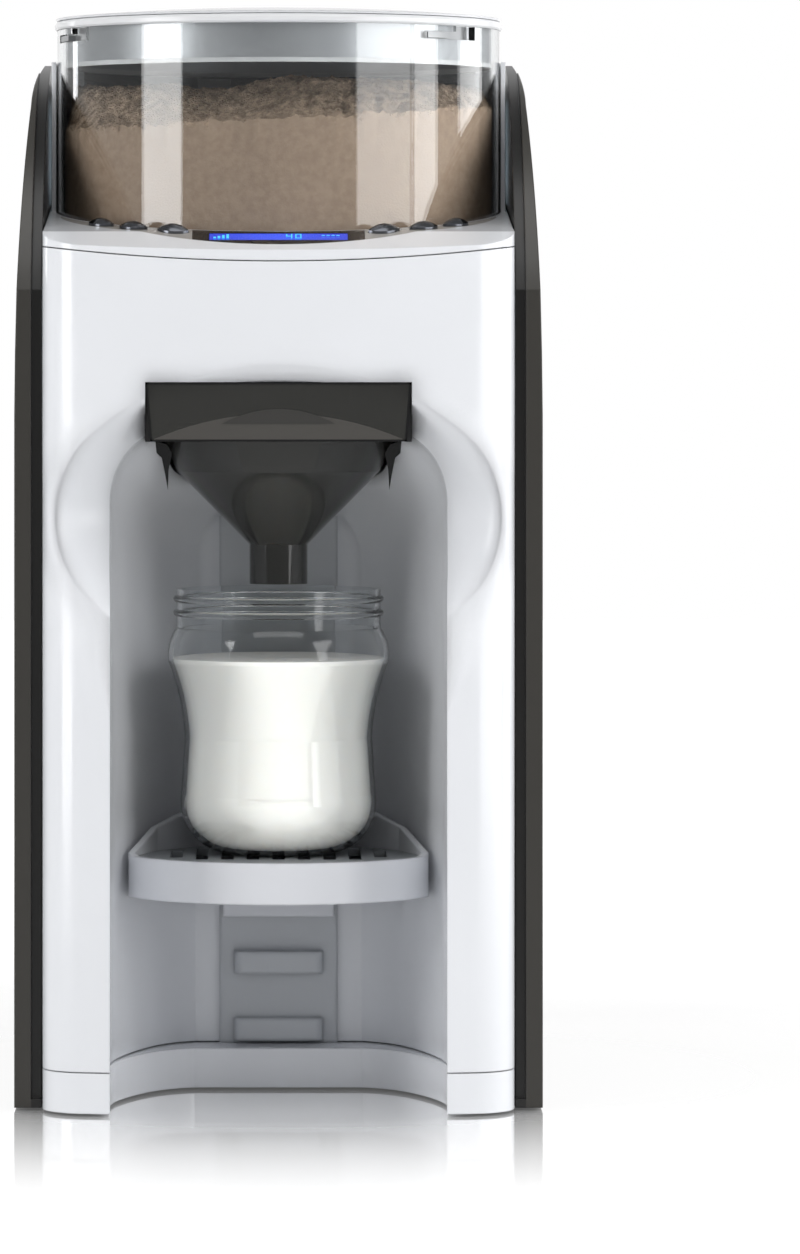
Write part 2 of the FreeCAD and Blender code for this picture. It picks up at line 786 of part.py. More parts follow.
def make_plinth():
    """A tray under the whole machine, open where the bay reaches the table, with a ledge behind that."""
    ledge = common("bay_ledge", bay_skin,
                   box("ledge_slab", ("-half_width", "half_width"), ("front_y", "split_y"),
                       ("plinth_top - wall", "plinth_top")))
    tray = cut(
        "tray",
        whole_block("tray_solid", "0", "foot_height", "plinth_top"),
        cut("tray_hollow", whole_block("tray_core", "wall", "foot_height + wall", "plinth_top + 1"),
            bay_form("plinth_bay_skin", "wall", "plinth_bay_y"), ledge),
    )
    tools = [bay_form("plinth_bay", "0", "plinth_bay_y")]
    spots = [(side, y) for side in (-1, 1) for y in ("boss_front_y", "boss_rear_y")]
    posts = []
    for order, (side, y) in enumerate(spots):
        x = f"{side} * boss_x"
        posts.append(rod(f"post{order}", "boss_radius", "foot_height + 1", "plinth_top", x, y))
        tools.append(rod(f"screw_way{order}", "screw_radius + seat_gap", "0", "plinth_top + 1", x, y))
        tools.append(rod(f"head_way{order}", "screw_head + small_gap", "0", "foot_height + 4", x, y))
    for order, (side, y) in enumerate((side, y) for side in (-1, 1) for y in ("foot_front_y", "foot_rear_y")):
        tools.append(rod(f"foot_seat{order}", "foot_radius + seat_gap", "0", "foot_height + foot_recess",
                         f"{side} * foot_x", y))
    node(cut("base_plinth", fuse("tray_posts", tray, *posts), *tools), "base_plinth")

    feet = [
        rod(f"foot{order}", "foot_radius", "0", "foot_height + foot_recess", f"{side} * foot_x", y)
        for order, (side, y) in enumerate(
            (side, y) for side in (-1, 1) for y in ("foot_front_y", "foot_rear_y"))
    ]
    node(compound("feet", feet), "rubber_feet")
    screws = []
    for order, (side, y) in enumerate(spots):
        x = f"{side} * boss_x"
        shank = rod(f"shank{order}", "screw_radius - running_gap", "foot_height + 2",
                    "foot_height + screw_length", x, y)
        head = rod(f"head{order}", "screw_head", "foot_height + 1.2", "foot_height + 4", x, y)
        slot = box(f"drive{order}", (f"{x} - 2.2", f"{x} + 2.2"), (f"{y} - 0.5", f"{y} + 0.5"),
                   ("foot_height", "foot_height + 2.4"))
        screws.append(cut(f"screw{order}", fuse(f"screw_blank{order}", shank, head), slot))
    node(compound("screws", screws), "case_screws")


def dome(radius, rim, crown):
    """The middle point of a dome's section, from its rim to its crown on the axis."""
    sag = f"(({crown}) - ({rim}))"
    ball = f"((pow({radius}; 2) + pow({sag}; 2)) / (2 * {sag}))"
    return (ARC, f"({radius}) * 0.5", f"({crown}) - {ball} + sqrt(pow({ball}; 2) - pow(({radius}) * 0.5; 2))")


def compound(name, parts):
    """Like pieces kept as separate solids of one node."""
    group = doc.addObject("Part::Compound", name)
    group.Links = parts
    return group


def panel_side_view(name, inset):
    """The side panels' outline seen from the side, swept back at the top front."""
    inset = f"({inset})"
    profile = body(name)
    points = [
        (f"panel_front_y + {inset}", f"panel_bottom + {inset}"),
        (f"panel_rear_y - {inset}", f"panel_bottom + {inset}"),
        (f"panel_rear_y - {inset}", "panel_top - 46"),
        (ARC, f"panel_rear_y - 13 - 0.7 * {inset}", f"panel_top - 12 - 0.7 * {inset}"),
        ("panel_rear_y - 46", f"panel_top - {inset}"),
        ("-14", f"panel_top - {inset}"),
        (ARC, f"panel_front_y + 36 + 0.7 * {inset}", f"panel_top - 34 - 0.7 * {inset}"),
        (f"panel_front_y + {inset}", "panel_shoulder - 14"),
    ]
    pad(profile, outline(profile, "YZ_Plane", f"{name}_line", points), "2 * panel_outer + 20", both_ways=True)
    return profile


def panel_section(name, side, points):
    """One side panel's section seen from the front, as long as the machine."""
    section = body(name)
    mirrored = [(*point[:-2], f"{side} * ({point[-2]})", point[-1]) for point in points]
    pad(section, outline(section, "XZ_Plane", f"{name}_line", mirrored), "2 * rear_y", both_ways=True)
    return section


def make_side_panels():
    """The dark side panels: upright shells, curved in at the top and swept back from the front."""
    solid = [
        ("panel_inner", "panel_bottom"),
        ("panel_outer", "panel_bottom"),
        ("panel_outer", "panel_waist"),
        (ARC, "0.2 * panel_neck + 0.8 * panel_outer", "(panel_waist + panel_neck_top) / 2"),
        ("panel_neck", "panel_neck_top"),
        (ARC, "(2 * panel_neck + panel_tip) / 3", "0.4 * panel_neck_top + 0.6 * panel_top"),
        ("panel_tip", "panel_top"),
        ("panel_inner", "panel_top"),
    ]
    hollow = [
        ("panel_inner - 1", "panel_bottom"),
        ("panel_outer - panel_wall", "panel_bottom"),
        ("panel_outer - panel_wall", "panel_waist"),
        ("panel_neck - panel_wall", "panel_neck_top - 8"),
        ("panel_inner + panel_wall", "panel_neck_top - 8"),
        ("panel_inner + panel_wall", "panel_shoulder - 6"),
        ("panel_inner - 1", "panel_shoulder - 6"),
    ]
    outside = panel_side_view("panel_outside", "0")
    set_back = panel_side_view("panel_set_back", "panel_step")
    inside = panel_side_view("panel_inside", "panel_step + panel_wall")
    for name, side in (("side_panel_left", -1), ("side_panel_right", 1)):
        whole = common(f"{name}_solid", panel_section(f"{name}_outer", side, solid), outside)
        space = common(f"{name}_space", panel_section(f"{name}_inner", side, hollow), inside)
        near, far = "panel_inner - 1", "panel_outer - panel_band"
        span = (f"-({far})", f"-({near})") if side < 0 else (near, far)
        rim = box(f"{name}_rim", span, ("panel_front_y - 1", "panel_rear_y - panel_step"),
                  ("panel_bottom + panel_step", "panel_top + 1"))
        node(cut(name, whole, space, cut(f"{name}_step", rim, set_back)), name)


def make_upper_housing():
    """The bezel with its sloping deck, the hopper's well and the surround behind the hopper."""
    block = front_block("deck_block", "0", "tank_front_y - 2", "seam_front - 20", "deck_height + 20")
    core = front_block("deck_core", "wall", "tank_front_y - 2 - wall", "seam_front - 21", "deck_height + 20")
    top = tilt(deck_form("deck_top", "0"))
    underside = tilt(deck_form("deck_underside", "deck_wall"))
    well_floor = "hopper_bottom - small_gap"
    cup = rod("cup", "hopper_radius + well_gap + wall", f"{well_floor} - wall", "deck_height + 40", "0",
              "hopper_y")
    void = cut("deck_void", common("deck_hollow", core, underside), cup)
    lower = cut("deck_lower", below_seam, cup)
    skin = cut("deck_skin", common("deck_solid", block, top), void, lower)
    ring_in = "hopper_radius"
    ring_out = "hopper_radius + well_gap + surround_wall"
    riser = sector("riser", ring_in, ring_out, "deck_height - 12", "riser_top",
                   "90 - ear_front", "180 + 2 * ear_front")
    ears = [
        sector("ear_right", ring_in, ring_out, "riser_top - 1", "ear_top", "90 - ear_front", "ear_sweep"),
        sector("ear_left", ring_in, ring_out, "riser_top - 1", "ear_top", "270 + ear_front - ear_sweep",
               "ear_sweep"),
    ]
    solid = fuse("upper_solid", skin, riser, *ears)
    well = rod("well", "hopper_radius + well_gap", well_floor, "ear_top + 20", "0", "hopper_y")
    panel_seat = tilt(cut("panel_seat", lune("panel_seat_lune", "-seat_gap", "-panel_depth - 10", "20"),
                          deck_form("panel_seat_floor", "panel_depth + seat_gap")))
    stems = [
        tilt(lens(f"stem_way{order}", angle, radius, "button_gap", "-30", "10"))
        for order, (angle, radius) in enumerate(button_places())
    ]
    shaft_way = rod("shaft_way", "shaft_radius + 2", f"{well_floor} - wall - 5", f"{well_floor} + 5",
                    "0", "hopper_y")
    powder_way = rod("powder_way", "outlet_radius + 1", f"{well_floor} - wall - 5", f"{well_floor} + 5",
                     "0", "hopper_y - outlet_reach")
    node(cut("upper_housing", solid, well, panel_seat, shaft_way, powder_way, *stems), "upper_housing")
    node(
        sector("back_wall", "hopper_radius + well_gap", ring_out, "riser_top", "ear_top",
               "90 - ear_front + ear_sweep + 0.2",
               "180 + 2 * ear_front - 2 * ear_sweep - 0.4"),
        "hopper_back_wall",
    )


def make_control_panel():
    """The crescent of glossy trim, its display and the buttons that pass through it."""
    holes = []
    for order, (angle, radius) in enumerate(button_places()):
        holes.append(lens(f"button_hole{order}", angle, radius, "button_gap", "-30", "10"))
    screen_seat = box("screen_seat", ("-screen_half - seat_gap", "screen_half + seat_gap"),
                      ("-screen_outer - seat_gap", "-screen_inner + seat_gap"), ("-30", "10"))
    screen_floor = deck_form("screen_hole_floor", "screen_thickness + seat_gap")
    screen_hole = cut("screen_hole", screen_seat, screen_floor)
    crescent = cut("crescent", common("crescent_solid", lune("crescent_lune", "0", "-30", "10"),
                                      deck_form("crescent_top", "0")),
                   deck_form("crescent_floor", "panel_depth"), screen_hole, *holes)
    node(tilt(crescent), "control_panel")
    glass = box("glass", ("-screen_half", "screen_half"), ("-screen_outer", "-screen_inner"), ("-30", "10"))
    screen = cut("screen", common("screen_blank", glass, deck_form("screen_top", "0.1")),
                 deck_form("screen_floor", "screen_thickness"))
    node(tilt(screen), "display_screen")
    names = ("button_powder", "button_volume", "button_temperature", "button_info", "button_clean",
             "button_start")
    order_by_place = (2, 1, 0, 3, 4, 5)
    for order, (angle, radius) in enumerate(button_places()):
        stem = lens(f"stem{order}", angle, radius, "0", "-30", "10")
        button = cut(f"button{order}", common(f"button_blank{order}", stem, deck_form(f"button_top{order}",
                                                                                     "0 - button_proud")),
                     deck_form(f"button_floor{order}", "button_depth"))
        node(tilt(button), names[order_by_place[order]])
    board_drop = "button_depth + button_travel + small_gap"
    board = cut("board", common("board_blank", lune("board_lune", "board_inset", "-40", "10"),
                                deck_form("board_top", board_drop)),
                deck_form("board_floor", f"{board_drop} + board_thickness"))
    node(tilt(board), "control_board")


# ---------------------------------------------------------------- hopper and its lid

def lug_angles():
    return [f"(lug_first + {120 * count})" for count in range(3)]


def make_hopper():
    wall_in = "hopper_radius - hopper_wall"
    tools = []
    for order, angle in enumerate(lug_angles()):
        low = "hopper_top - lug_drop - 0.4"
        leg_start = f"{angle} - lug_width / 2 - 0.5"
        entry_start = f"{angle} + lug_turn - lug_width / 2 - 0.5"
        tools.append(sector(f"slot_leg{order}", f"{wall_in} - 1", "hopper_radius + 1", low,
                            f"{low} + lug_height + 0.8", leg_start, "lug_turn + lug_width / 2"))
        tools.append(sector(f"slot_entry{order}", f"{wall_in} - 1", "hopper_radius + 1", low,
                            "hopper_top + 1", entry_start, "lug_width + 1"))
    wall = tube("hopper_tube", "hopper_radius", wall_in, "hopper_bottom", "hopper_top", "0", "hopper_y")
    node(cut("powder_container", wall, *tools), "powder_container")

    base_top = "hopper_bottom + base_thickness"
    disc = rod("base_disc", f"{wall_in} - running_gap", "hopper_bottom", base_top, "0", "hopper_y")
    node(
        cut("dosing_base", disc,
            rod("base_bore", "dog_half * 2 / sqrt(3) + 1.5", "hopper_bottom - 1", f"{base_top} + 1",
                "0", "hopper_y"),
            rod("base_outlet", "outlet_radius", "hopper_bottom - 1", f"{base_top} + 1", "0",
                "hopper_y - outlet_reach")),
        "dosing_base",
    )
    sweep_top = f"{base_top} + small_gap + portion_height + small_gap + stir_height + sweep_gap"
    heap = revolve("heap", [
        ("0", f"{base_top} + 0.05"),
        (f"{wall_in} - 0.1", f"{base_top} + 0.05"),
        (f"{wall_in} - 0.1", "powder_top - 6"),
        (ARC, f"({wall_in}) * 0.62", "powder_crown - 3"),
        (f"({wall_in}) * 0.3", "powder_crown"),
        ("0", "powder_crown"),
    ])
    move(heap, "0", "hopper_y", "0")
    sweep = rod("sweep", "stir_reach + sweep_gap", f"{base_top} - 1", sweep_top, "0", "hopper_y")
    hub_way = rod("hub_way", "hub_radius + sweep_gap", f"{base_top} - 1",
                  f"{sweep_top} - stir_height + hub_height", "0", "hopper_y")
    leveller_y = f"hopper_y + sqrt(pow({wall_in}; 2) - pow(-leveller_x + leveller_half; 2))"
    notch = box("leveller_notch", ("leveller_x - leveller_half - 0.1", "leveller_x + leveller_half + 0.1"),
                (f"{leveller_y} - leveller_wall - 0.1", f"{leveller_y} + 20"), (sweep_top, "hopper_top"))
    node(cut("powder", heap, sweep, hub_way, notch), "formula_powder")
    strip = box("leveller_strip", ("leveller_x - leveller_half", "leveller_x + leveller_half"),
                (f"{leveller_y} - leveller_wall", f"{leveller_y} + 20"),
                (f"{sweep_top} + 1", "hopper_top - skirt_depth - seal_height - 1"))
    node(
        common("leveller", strip, rod("leveller_limit", f"{wall_in} - running_gap", "hopper_bottom",
                                      "hopper_top", "0", "hopper_y")),
        "powder_leveller",
    )

    wheel_low = f"{base_top} + small_gap"
    wheel_top = f"{wheel_low} + portion_height"
    wheel = rod("wheel_disc", "portion_radius", wheel_low, wheel_top, "0", "hopper_y")
    pockets = []
    for count in range(6):
        spin = f"{60 * count}"
        pockets.append(rod(f"pocket{count}", "outlet_radius - 0.5", f"{wheel_low} - 1", f"{wheel_top} + 1",
                           f"outlet_reach * sin({spin})", f"hopper_y - outlet_reach * cos({spin})"))
    socket = hexagon("wheel_socket", "dog_half + small_gap", f"{wheel_low} - 1", f"{wheel_top} + 1")
    node(cut("portion_wheel", wheel, socket, *pockets), "portion_wheel")
    stir_low = wheel_top
    hub = rod("stir_hub", "hub_radius", stir_low, f"{stir_low} + hub_height", "0", "hopper_y")
    arms = []
    for count in range(3):
        arm = doc.addObject("Part::Box", f"arm{count}")
        bind(arm, Length="stir_reach", Width="6", Height="stir_height")
        spin = 30 + 120 * count
        turn(arm, (0, 0, 1), f"{spin}")
        move(arm, f"3 * sin({spin})", f"hopper_y - 3 * cos({spin})", f"{stir_low} + small_gap")
        arms.append(arm)
    well = hexagon("hub_socket", "dog_half + small_gap", f"{stir_low} - 1", f"{stir_low} + 3")
    node(cut("stirrer", fuse("stirrer_solid", hub, *arms), well), "stirrer_wheel")


def hexagon(name, half, low, high):
    """A six-sided prism on the hopper's axis, half its width across flats given."""
    prism = doc.addObject("Part::Prism", name)
    prism.Polygon = 6
    bind(prism, Circumradius=f"({half}) * 2 / sqrt(3)", Height=f"({high}) - ({low})")
    return move(prism, "0", "hopper_y", low)


def make_lid():
    """A bayonet collar with three lugs, its seal, and the domed cap that lifts out of it."""
    skirt_out = "hopper_radius - hopper_wall - skirt_gap"
    skirt_in = f"{skirt_out} - skirt_wall"
    low = "hopper_top - skirt_depth"
    flange_low = "hopper_top + seat_gap"
    ring = revolve("collar_ring", [
        (skirt_in, low),
        (skirt_out, low),
        (skirt_out, flange_low),
        ("lid_radius - 0.6", flange_low),
        ("lid_radius", f"{flange_low} + 0.6"),
        ("lid_radius", f"{flange_low} + flange_height - 1"),
        ("lid_radius - 1", f"{flange_low} + flange_height"),
        ("lid_opening", f"{flange_low} + flange_height"),
        ("lid_opening", flange_low),
        (skirt_in, flange_low),
    ])
    move(ring, "0", "hopper_y", "0")
    lugs = []
    for order, angle in enumerate(lug_angles()):
        lugs.append(sector(f"lug{order}", f"{skirt_out} - 1", "hopper_radius - 0.2", "hopper_top - lug_drop",
                           "hopper_top - lug_drop + lug_height", f"{angle} - lug_width / 2", "lug_width"))
    node(fuse("collar", ring, *lugs), "lid_collar")
    node(
        tube("seal", f"{skirt_out} - 0.1", skirt_in, f"{low} - seal_height", low, "0", "hopper_y"),
        "lid_seal",
    )
    seat = f"{flange_low} + flange_height + seat_gap"
    crown = f"{seat} + cap_rise"
    cap = revolve("cap", [
        ("0", f"{crown} - cap_wall"),
        ("lid_opening - 3", f"{seat} + 0.4"),
        ("lid_opening - 3", flange_low),
        ("lid_opening - small_gap", flange_low),
        ("lid_opening - small_gap", seat),
        ("lid_radius - 0.8", seat),
        ("lid_radius - 0.4", f"{seat} + 0.8"),
        dome("lid_radius - 0.4", f"{seat} + 0.8", crown),
        ("0", crown),
    ])
    move(cap, "0", "hopper_y", "0")
    node(cap, "lid_cap")


def make_drive():
    """The gearmotor under the hopper, its bracket and the hexagonal drive dog."""
    low = "gearbox_top - gearbox_height"
    gearbox = box("gearbox", ("-gearbox_half", "gearbox_half"),
                  ("hopper_y - gearbox_half", "hopper_y + motor_offset + motor_radius + 2"),
                  (low, "gearbox_top"))
    can = rod("can", "motor_radius", f"{low} - motor_height", low, "0", "hopper_y + motor_offset")
    bearing = rod("bearing_bore", "shaft_radius + running_gap", "gearbox_top - 6", "gearbox_top + 1", "0",
                  "hopper_y")
    node(cut("gearmotor", fuse("gearmotor_solid", gearbox, can), bearing), "stirrer_gearmotor")
    shaft = rod("shaft", "shaft_radius", "gearbox_top - 5.7", "hopper_bottom + 2", "0", "hopper_y")
    wheel_low = "hopper_bottom + base_thickness + small_gap"
    head = hexagon("dog_head", "dog_half", "hopper_bottom + 1", f"{wheel_low} + portion_height - 0.4")
    node(fuse("dog", shaft, head), "drive_dog")
    bracket = box("bracket_plate", ("-gearbox_half - 8", "gearbox_half + 8"),
                  ("hopper_y - gearbox_half", "chassis_y + chassis_thickness + 30"),
                  (f"{low} - chassis_thickness", low))
    node(
        cut("bracket", bracket, rod("can_way", "motor_radius + small_gap", f"{low} - 9", f"{low} + 1",
                                    "0", "hopper_y + motor_offset")),
        "motor_bracket",
    )


# ---------------------------------------------------------------- funnel

def make_funnel():
    bowl = revolve("bowl", [
        ("spout_radius - funnel_wall", "spout_bottom"),
        ("spout_radius", "spout_bottom"),
        ("spout_radius", "spout_top"),
        ("cone_radius", "cone_top"),
        ("bowl_radius", "bowl_bottom"),
        ("bowl_radius", "bowl_top"),
        ("bowl_radius - funnel_wall", "bowl_top"),
        ("bowl_radius - funnel_wall", "bowl_bottom + 0.8"),
        ("cone_radius - funnel_wall", "cone_top + 1"),
        ("spout_radius - funnel_wall", "spout_top + 1"),
    ])
    move(bowl, "0", "funnel_y", "0")
    flange = cut(
        "funnel_flange",
        tunnel_form("flange_sheet", "flange_half", "plate_y + plate_thickness / 2", "bowl_top - funnel_wall",
                    "bowl_top"),
        rod("flange_hole", "bowl_radius - 1", "bowl_top - 9", "bowl_top + 9", "0", "funnel_y"),
    )
    plate_body = body("funnel_plate")
    plate = outline(plate_body, "XZ_Plane", "plate_outline", [
        ("-plate_foot_half", "plate_bottom"),
        ("plate_foot_half", "plate_bottom"),
        ("plate_half", "plate_top"),
        ("-plate_half", "plate_top"),
    ], "-(plate_y + plate_thickness)")
    pad(plate_body, plate, "plate_thickness")
    node(fuse("funnel", bowl, flange, plate_body), "funnel")

    side_out = "tunnel_half - small_gap"
    side_in = f"{side_out} - carrier_wall"
    start = "plate_y + plate_thickness + 1.5"
    roof_top = "tunnel_roof - small_gap"
    shell = cut(
        "carrier_shell",
        tunnel_form("carrier_solid", side_out, start, "tunnel_floor + small_gap", roof_top),
        tunnel_form("carrier_void", side_in, f"{start} - 1", "tunnel_floor - 1",
                    f"{roof_top} - carrier_wall"),
    )
    rails = []
    for side in (-1, 1):
        inner = "bowl_radius + 0.9"
        span = (f"-({side_in}) - 0.1", f"-({inner})") if side < 0 else (inner, f"{side_in} + 0.1")
        rails.append(box(f"ledge{side + 1}", span, (start, "funnel_y"),
                         ("bowl_top - funnel_wall - small_gap - 1.6", "bowl_top - funnel_wall - small_gap")))
        rails.append(box(f"keeper{side + 1}", span, (start, "funnel_y"),
                         ("bowl_top + small_gap", "bowl_top + small_gap + 1.6")))
    chute_way = rod("chute_way", "chute_radius + 2.5", "tunnel_roof - 9", "tunnel_roof + 9", "0",
                    "hopper_y - outlet_reach")
    nozzle_way = rod("nozzle_way", "spigot_radius + small_gap", "tunnel_roof - 9", "tunnel_roof + 9",
                     "nozzle_x", "nozzle_y")
    node(cut("carrier", fuse("carrier_rails", shell, *rails), chute_way, nozzle_way), "funnel_carrier")

    floor = "hopper_bottom - small_gap - wall"
    chute = cut(
        "chute",
        taper("chute_outside", "chute_radius", "chute_radius + 4", "chute_bottom", floor, "0",
              "hopper_y - outlet_reach"),
        taper("chute_inside", "chute_radius - 2", "chute_radius + 2", "chute_bottom - 0.01",
              f"{floor} + 0.01", "0",
              "hopper_y - outlet_reach"),
    )
    node(chute, "powder_chute")
    node(
        tube("nozzle", "spigot_radius", "spigot_radius - 2.5", "nozzle_bottom", "tunnel_roof + 6",
             "nozzle_x", "nozzle_y"),
        "water_nozzle",
    )


# ---------------------------------------------------------------- stand, rail, bottle

def stand_plan(inset):
    inset = f"({inset})"
    return [
        (f"-(stand_half - {inset})", "stand_side_y"),
        (ARC, "0", f"stand_front_y + {inset}"),
        (f"stand_half - {inset}", "stand_side_y"),
        (f"stand_waist - {inset}", "stand_waist_y"),
        (f"stand_back_half - 0.7 * {inset}", f"stand_back_y - {inset}"),
        (f"-(stand_back_half - 0.7 * {inset})", f"stand_back_y - {inset}"),
        (f"-(stand_waist - {inset})", "stand_waist_y"),
    ]


def stand_prism(name, inset, low, high):
    owner = body(name)
    pad(owner, outline(owner, "XY_Plane", f"{name}_plan", stand_plan(inset), low), f"({high}) - ({low})")
    return owner


def make_stand():
    """The bottle stand: a tray with cheeks that rise to the back, a grate and a hook for the rail."""
    rise = body("stand_rise")
    pad(rise, outline(rise, "YZ_Plane", "rise_profile", [
        ("stand_front_y - 5", "stand_bottom"),
        ("stand_back_y + 5", "stand_bottom"),
        ("stand_back_y + 5", "stand_back_top"),
        ("stand_side_y - 4", "stand_top"),
        ("stand_front_y - 5", "stand_top"),
    ]), "2 * stand_half + 20", both_ways=True)
    outer = common("stand_outer", stand_prism("stand_solid", "0", "stand_bottom", "stand_back_top + 5"), rise)
    grate_top = "bottle_bottom - small_gap"
    tray = stand_prism("tray_space", "stand_wall", "stand_bottom + stand_floor", "stand_back_top + 9")
    hook_top = "stand_bottom + stand_floor"
    tab_z = "(tab_first + 2 * tab_pitch)"
    back = "stand_back_y"
    hook = box("hook", ("-tab_half - 4", "tab_half + 4"), (f"{back} - tab_reach - 3", back),
               (f"{tab_z} - tab_height / 2 - 3", hook_top))
    slot = box("hook_slot", ("-tab_half - small_gap", "tab_half + small_gap"),
               ("bay_back_y - rail_thickness - tab_reach - small_gap", f"{back} + 1"),
               (f"{tab_z} - tab_height / 2 - small_gap", f"{tab_z} + tab_height / 2 + small_gap"))
    ledge_ring = cut(
        "ledge_ring",
        stand_prism("ledge_solid", "stand_wall - 0.1", hook_top, f"{grate_top} - grate_thickness"),
        stand_prism("ledge_space", "stand_wall + 2", "stand_bottom", f"{grate_top} + 1"),
    )
    node(
        cut("stand", fuse("stand_body", cut("stand_tray", outer, tray), hook, ledge_ring), slot),
        "bottle_stand",
    )

    sheet_body = stand_prism("grate_sheet", "stand_wall + small_gap", f"{grate_top} - grate_thickness",
                             grate_top)
    slots = []
    for count in range(-4, 5):
        x = f"{9 * count}"
        reach = 26 if abs(count) < 4 else 16
        slots.append(box(f"grate_slot{count + 4}", (f"{x} - 2.2", f"{x} + 2.2"),
                         (f"stand_side_y + 8 - {reach}", f"stand_side_y + 8 + {reach}"),
                         (f"{grate_top} - 9", f"{grate_top} + 9")))
    node(cut("grate", sheet_body, *slots), "drip_grate")

    face = "bay_back_y"
    strip = box("rail_strip", ("-rail_half", "rail_half"), (f"{face} - rail_thickness", face),
                ("plinth_top", "rail_top"))
    tabs = []
    root = f"{face} - rail_thickness"
    for count in range(3):
        low = f"tab_first + {count} * tab_pitch - tab_height / 2"
        tab = body(f"tab{count}")
        pad(tab, outline(tab, "XY_Plane", f"tab{count}_plan", [
            ("-tab_half", f"{root} + 1"),
            ("-tab_half", f"{root} - tab_reach * 0.35"),
            (ARC, "-tab_half + tab_reach * 0.18", f"{root} - tab_reach * 0.7"),
            ("-tab_half + tab_reach * 0.6", f"{root} - tab_reach * 0.85"),
            (ARC, "0", f"{root} - tab_reach"),
            ("tab_half - tab_reach * 0.6", f"{root} - tab_reach * 0.85"),
            (ARC, "tab_half - tab_reach * 0.18", f"{root} - tab_reach * 0.7"),
            ("tab_half", f"{root} - tab_reach * 0.35"),
            ("tab_half", f"{root} + 1"),
        ], low), "tab_height")
        tabs.append(tab)
    node(fuse("rail", strip, *tabs), "stand_rail")


def bottle_line(inset, foot):
    """The bottle's outer line from the base up to the mouth, moved in by inset."""
    low = "bottle_bottom"
    return [
        ("0", f"{low} + {foot}"),
        ("18.5", f"{low} + {foot}"),
        (ARC, f"30.5 - 0.75 * {inset}", f"{low} + 6.4 + 0.65 * {inset}"),
        (f"belly_radius - {inset}", f"{low} + 21"),
        (f"waist_radius - {inset}", f"{low} + 41"),
        (ARC, f"waist_radius + 1.9 - {inset}", f"{low} + 55"),
        (f"shoulder_radius - {inset}", f"{low} + 68"),
        (ARC, f"shoulder_radius - 0.5 - {inset}", f"{low} + 75"),
        (f"mouth_radius - {inset}", f"{low} + 80"),
    ]


def make_bottle():
    low = "bottle_bottom"
    top = f"{low} + bottle_height"
    outside = bottle_line("0", "0")
    beads = []
    for rise in (3.5, 8.5):
        beads += [
            ("mouth_radius", f"{top} - {rise} - 1.2"),
            (ARC, "mouth_radius + bead", f"{top} - {rise}"),
            ("mouth_radius", f"{top} - {rise} + 1.2"),
        ]
    beads = beads[3:] + beads[:3]
    inside = bottle_line("bottle_wall", "bottle_wall")
    section = outside + beads + [("mouth_radius", top), ("mouth_radius - bottle_wall", top)] + inside[::-1]
    bottle = revolve("bottle_turned", section)
    move(bottle, "0", "funnel_y", "0")
    node(bottle, "bottle")
    inset = "(bottle_wall + running_gap)"
    fill = revolve("milk_fill", bottle_line(inset, inset) + [("0", f"{low} + 80")])
    move(fill, "0", "funnel_y", "0")
    level = box("milk_level_box", ("-60", "60"), ("funnel_y - 60", "funnel_y + 60"),
                (low, f"{low} + milk_level"))
    node(common("milk_solid", fill, level), "milk")


# ---------------------------------------------------------------- water tank

def tank_block(name, inset, low, high):
    """A block on the tank's plan with round corners, moved in by inset."""
    owner = body(name)
    inset = f"({inset})"
    side = f"tank_half - {inset}"
    corners = [
        (f"-({side})", f"tank_front_y + {inset}"),
        (side, f"tank_front_y + {inset}"),
        (side, f"tank_back_y - {inset}"),
        (f"-({side})", f"tank_back_y - {inset}"),
    ]
    solid = pad(owner, outline(owner, "XY_Plane", f"{name}_plan", corners, low), f"({high}) - ({low})")
    round_edges(owner, solid, f"tank_corner - {inset}", upright)
    return owner


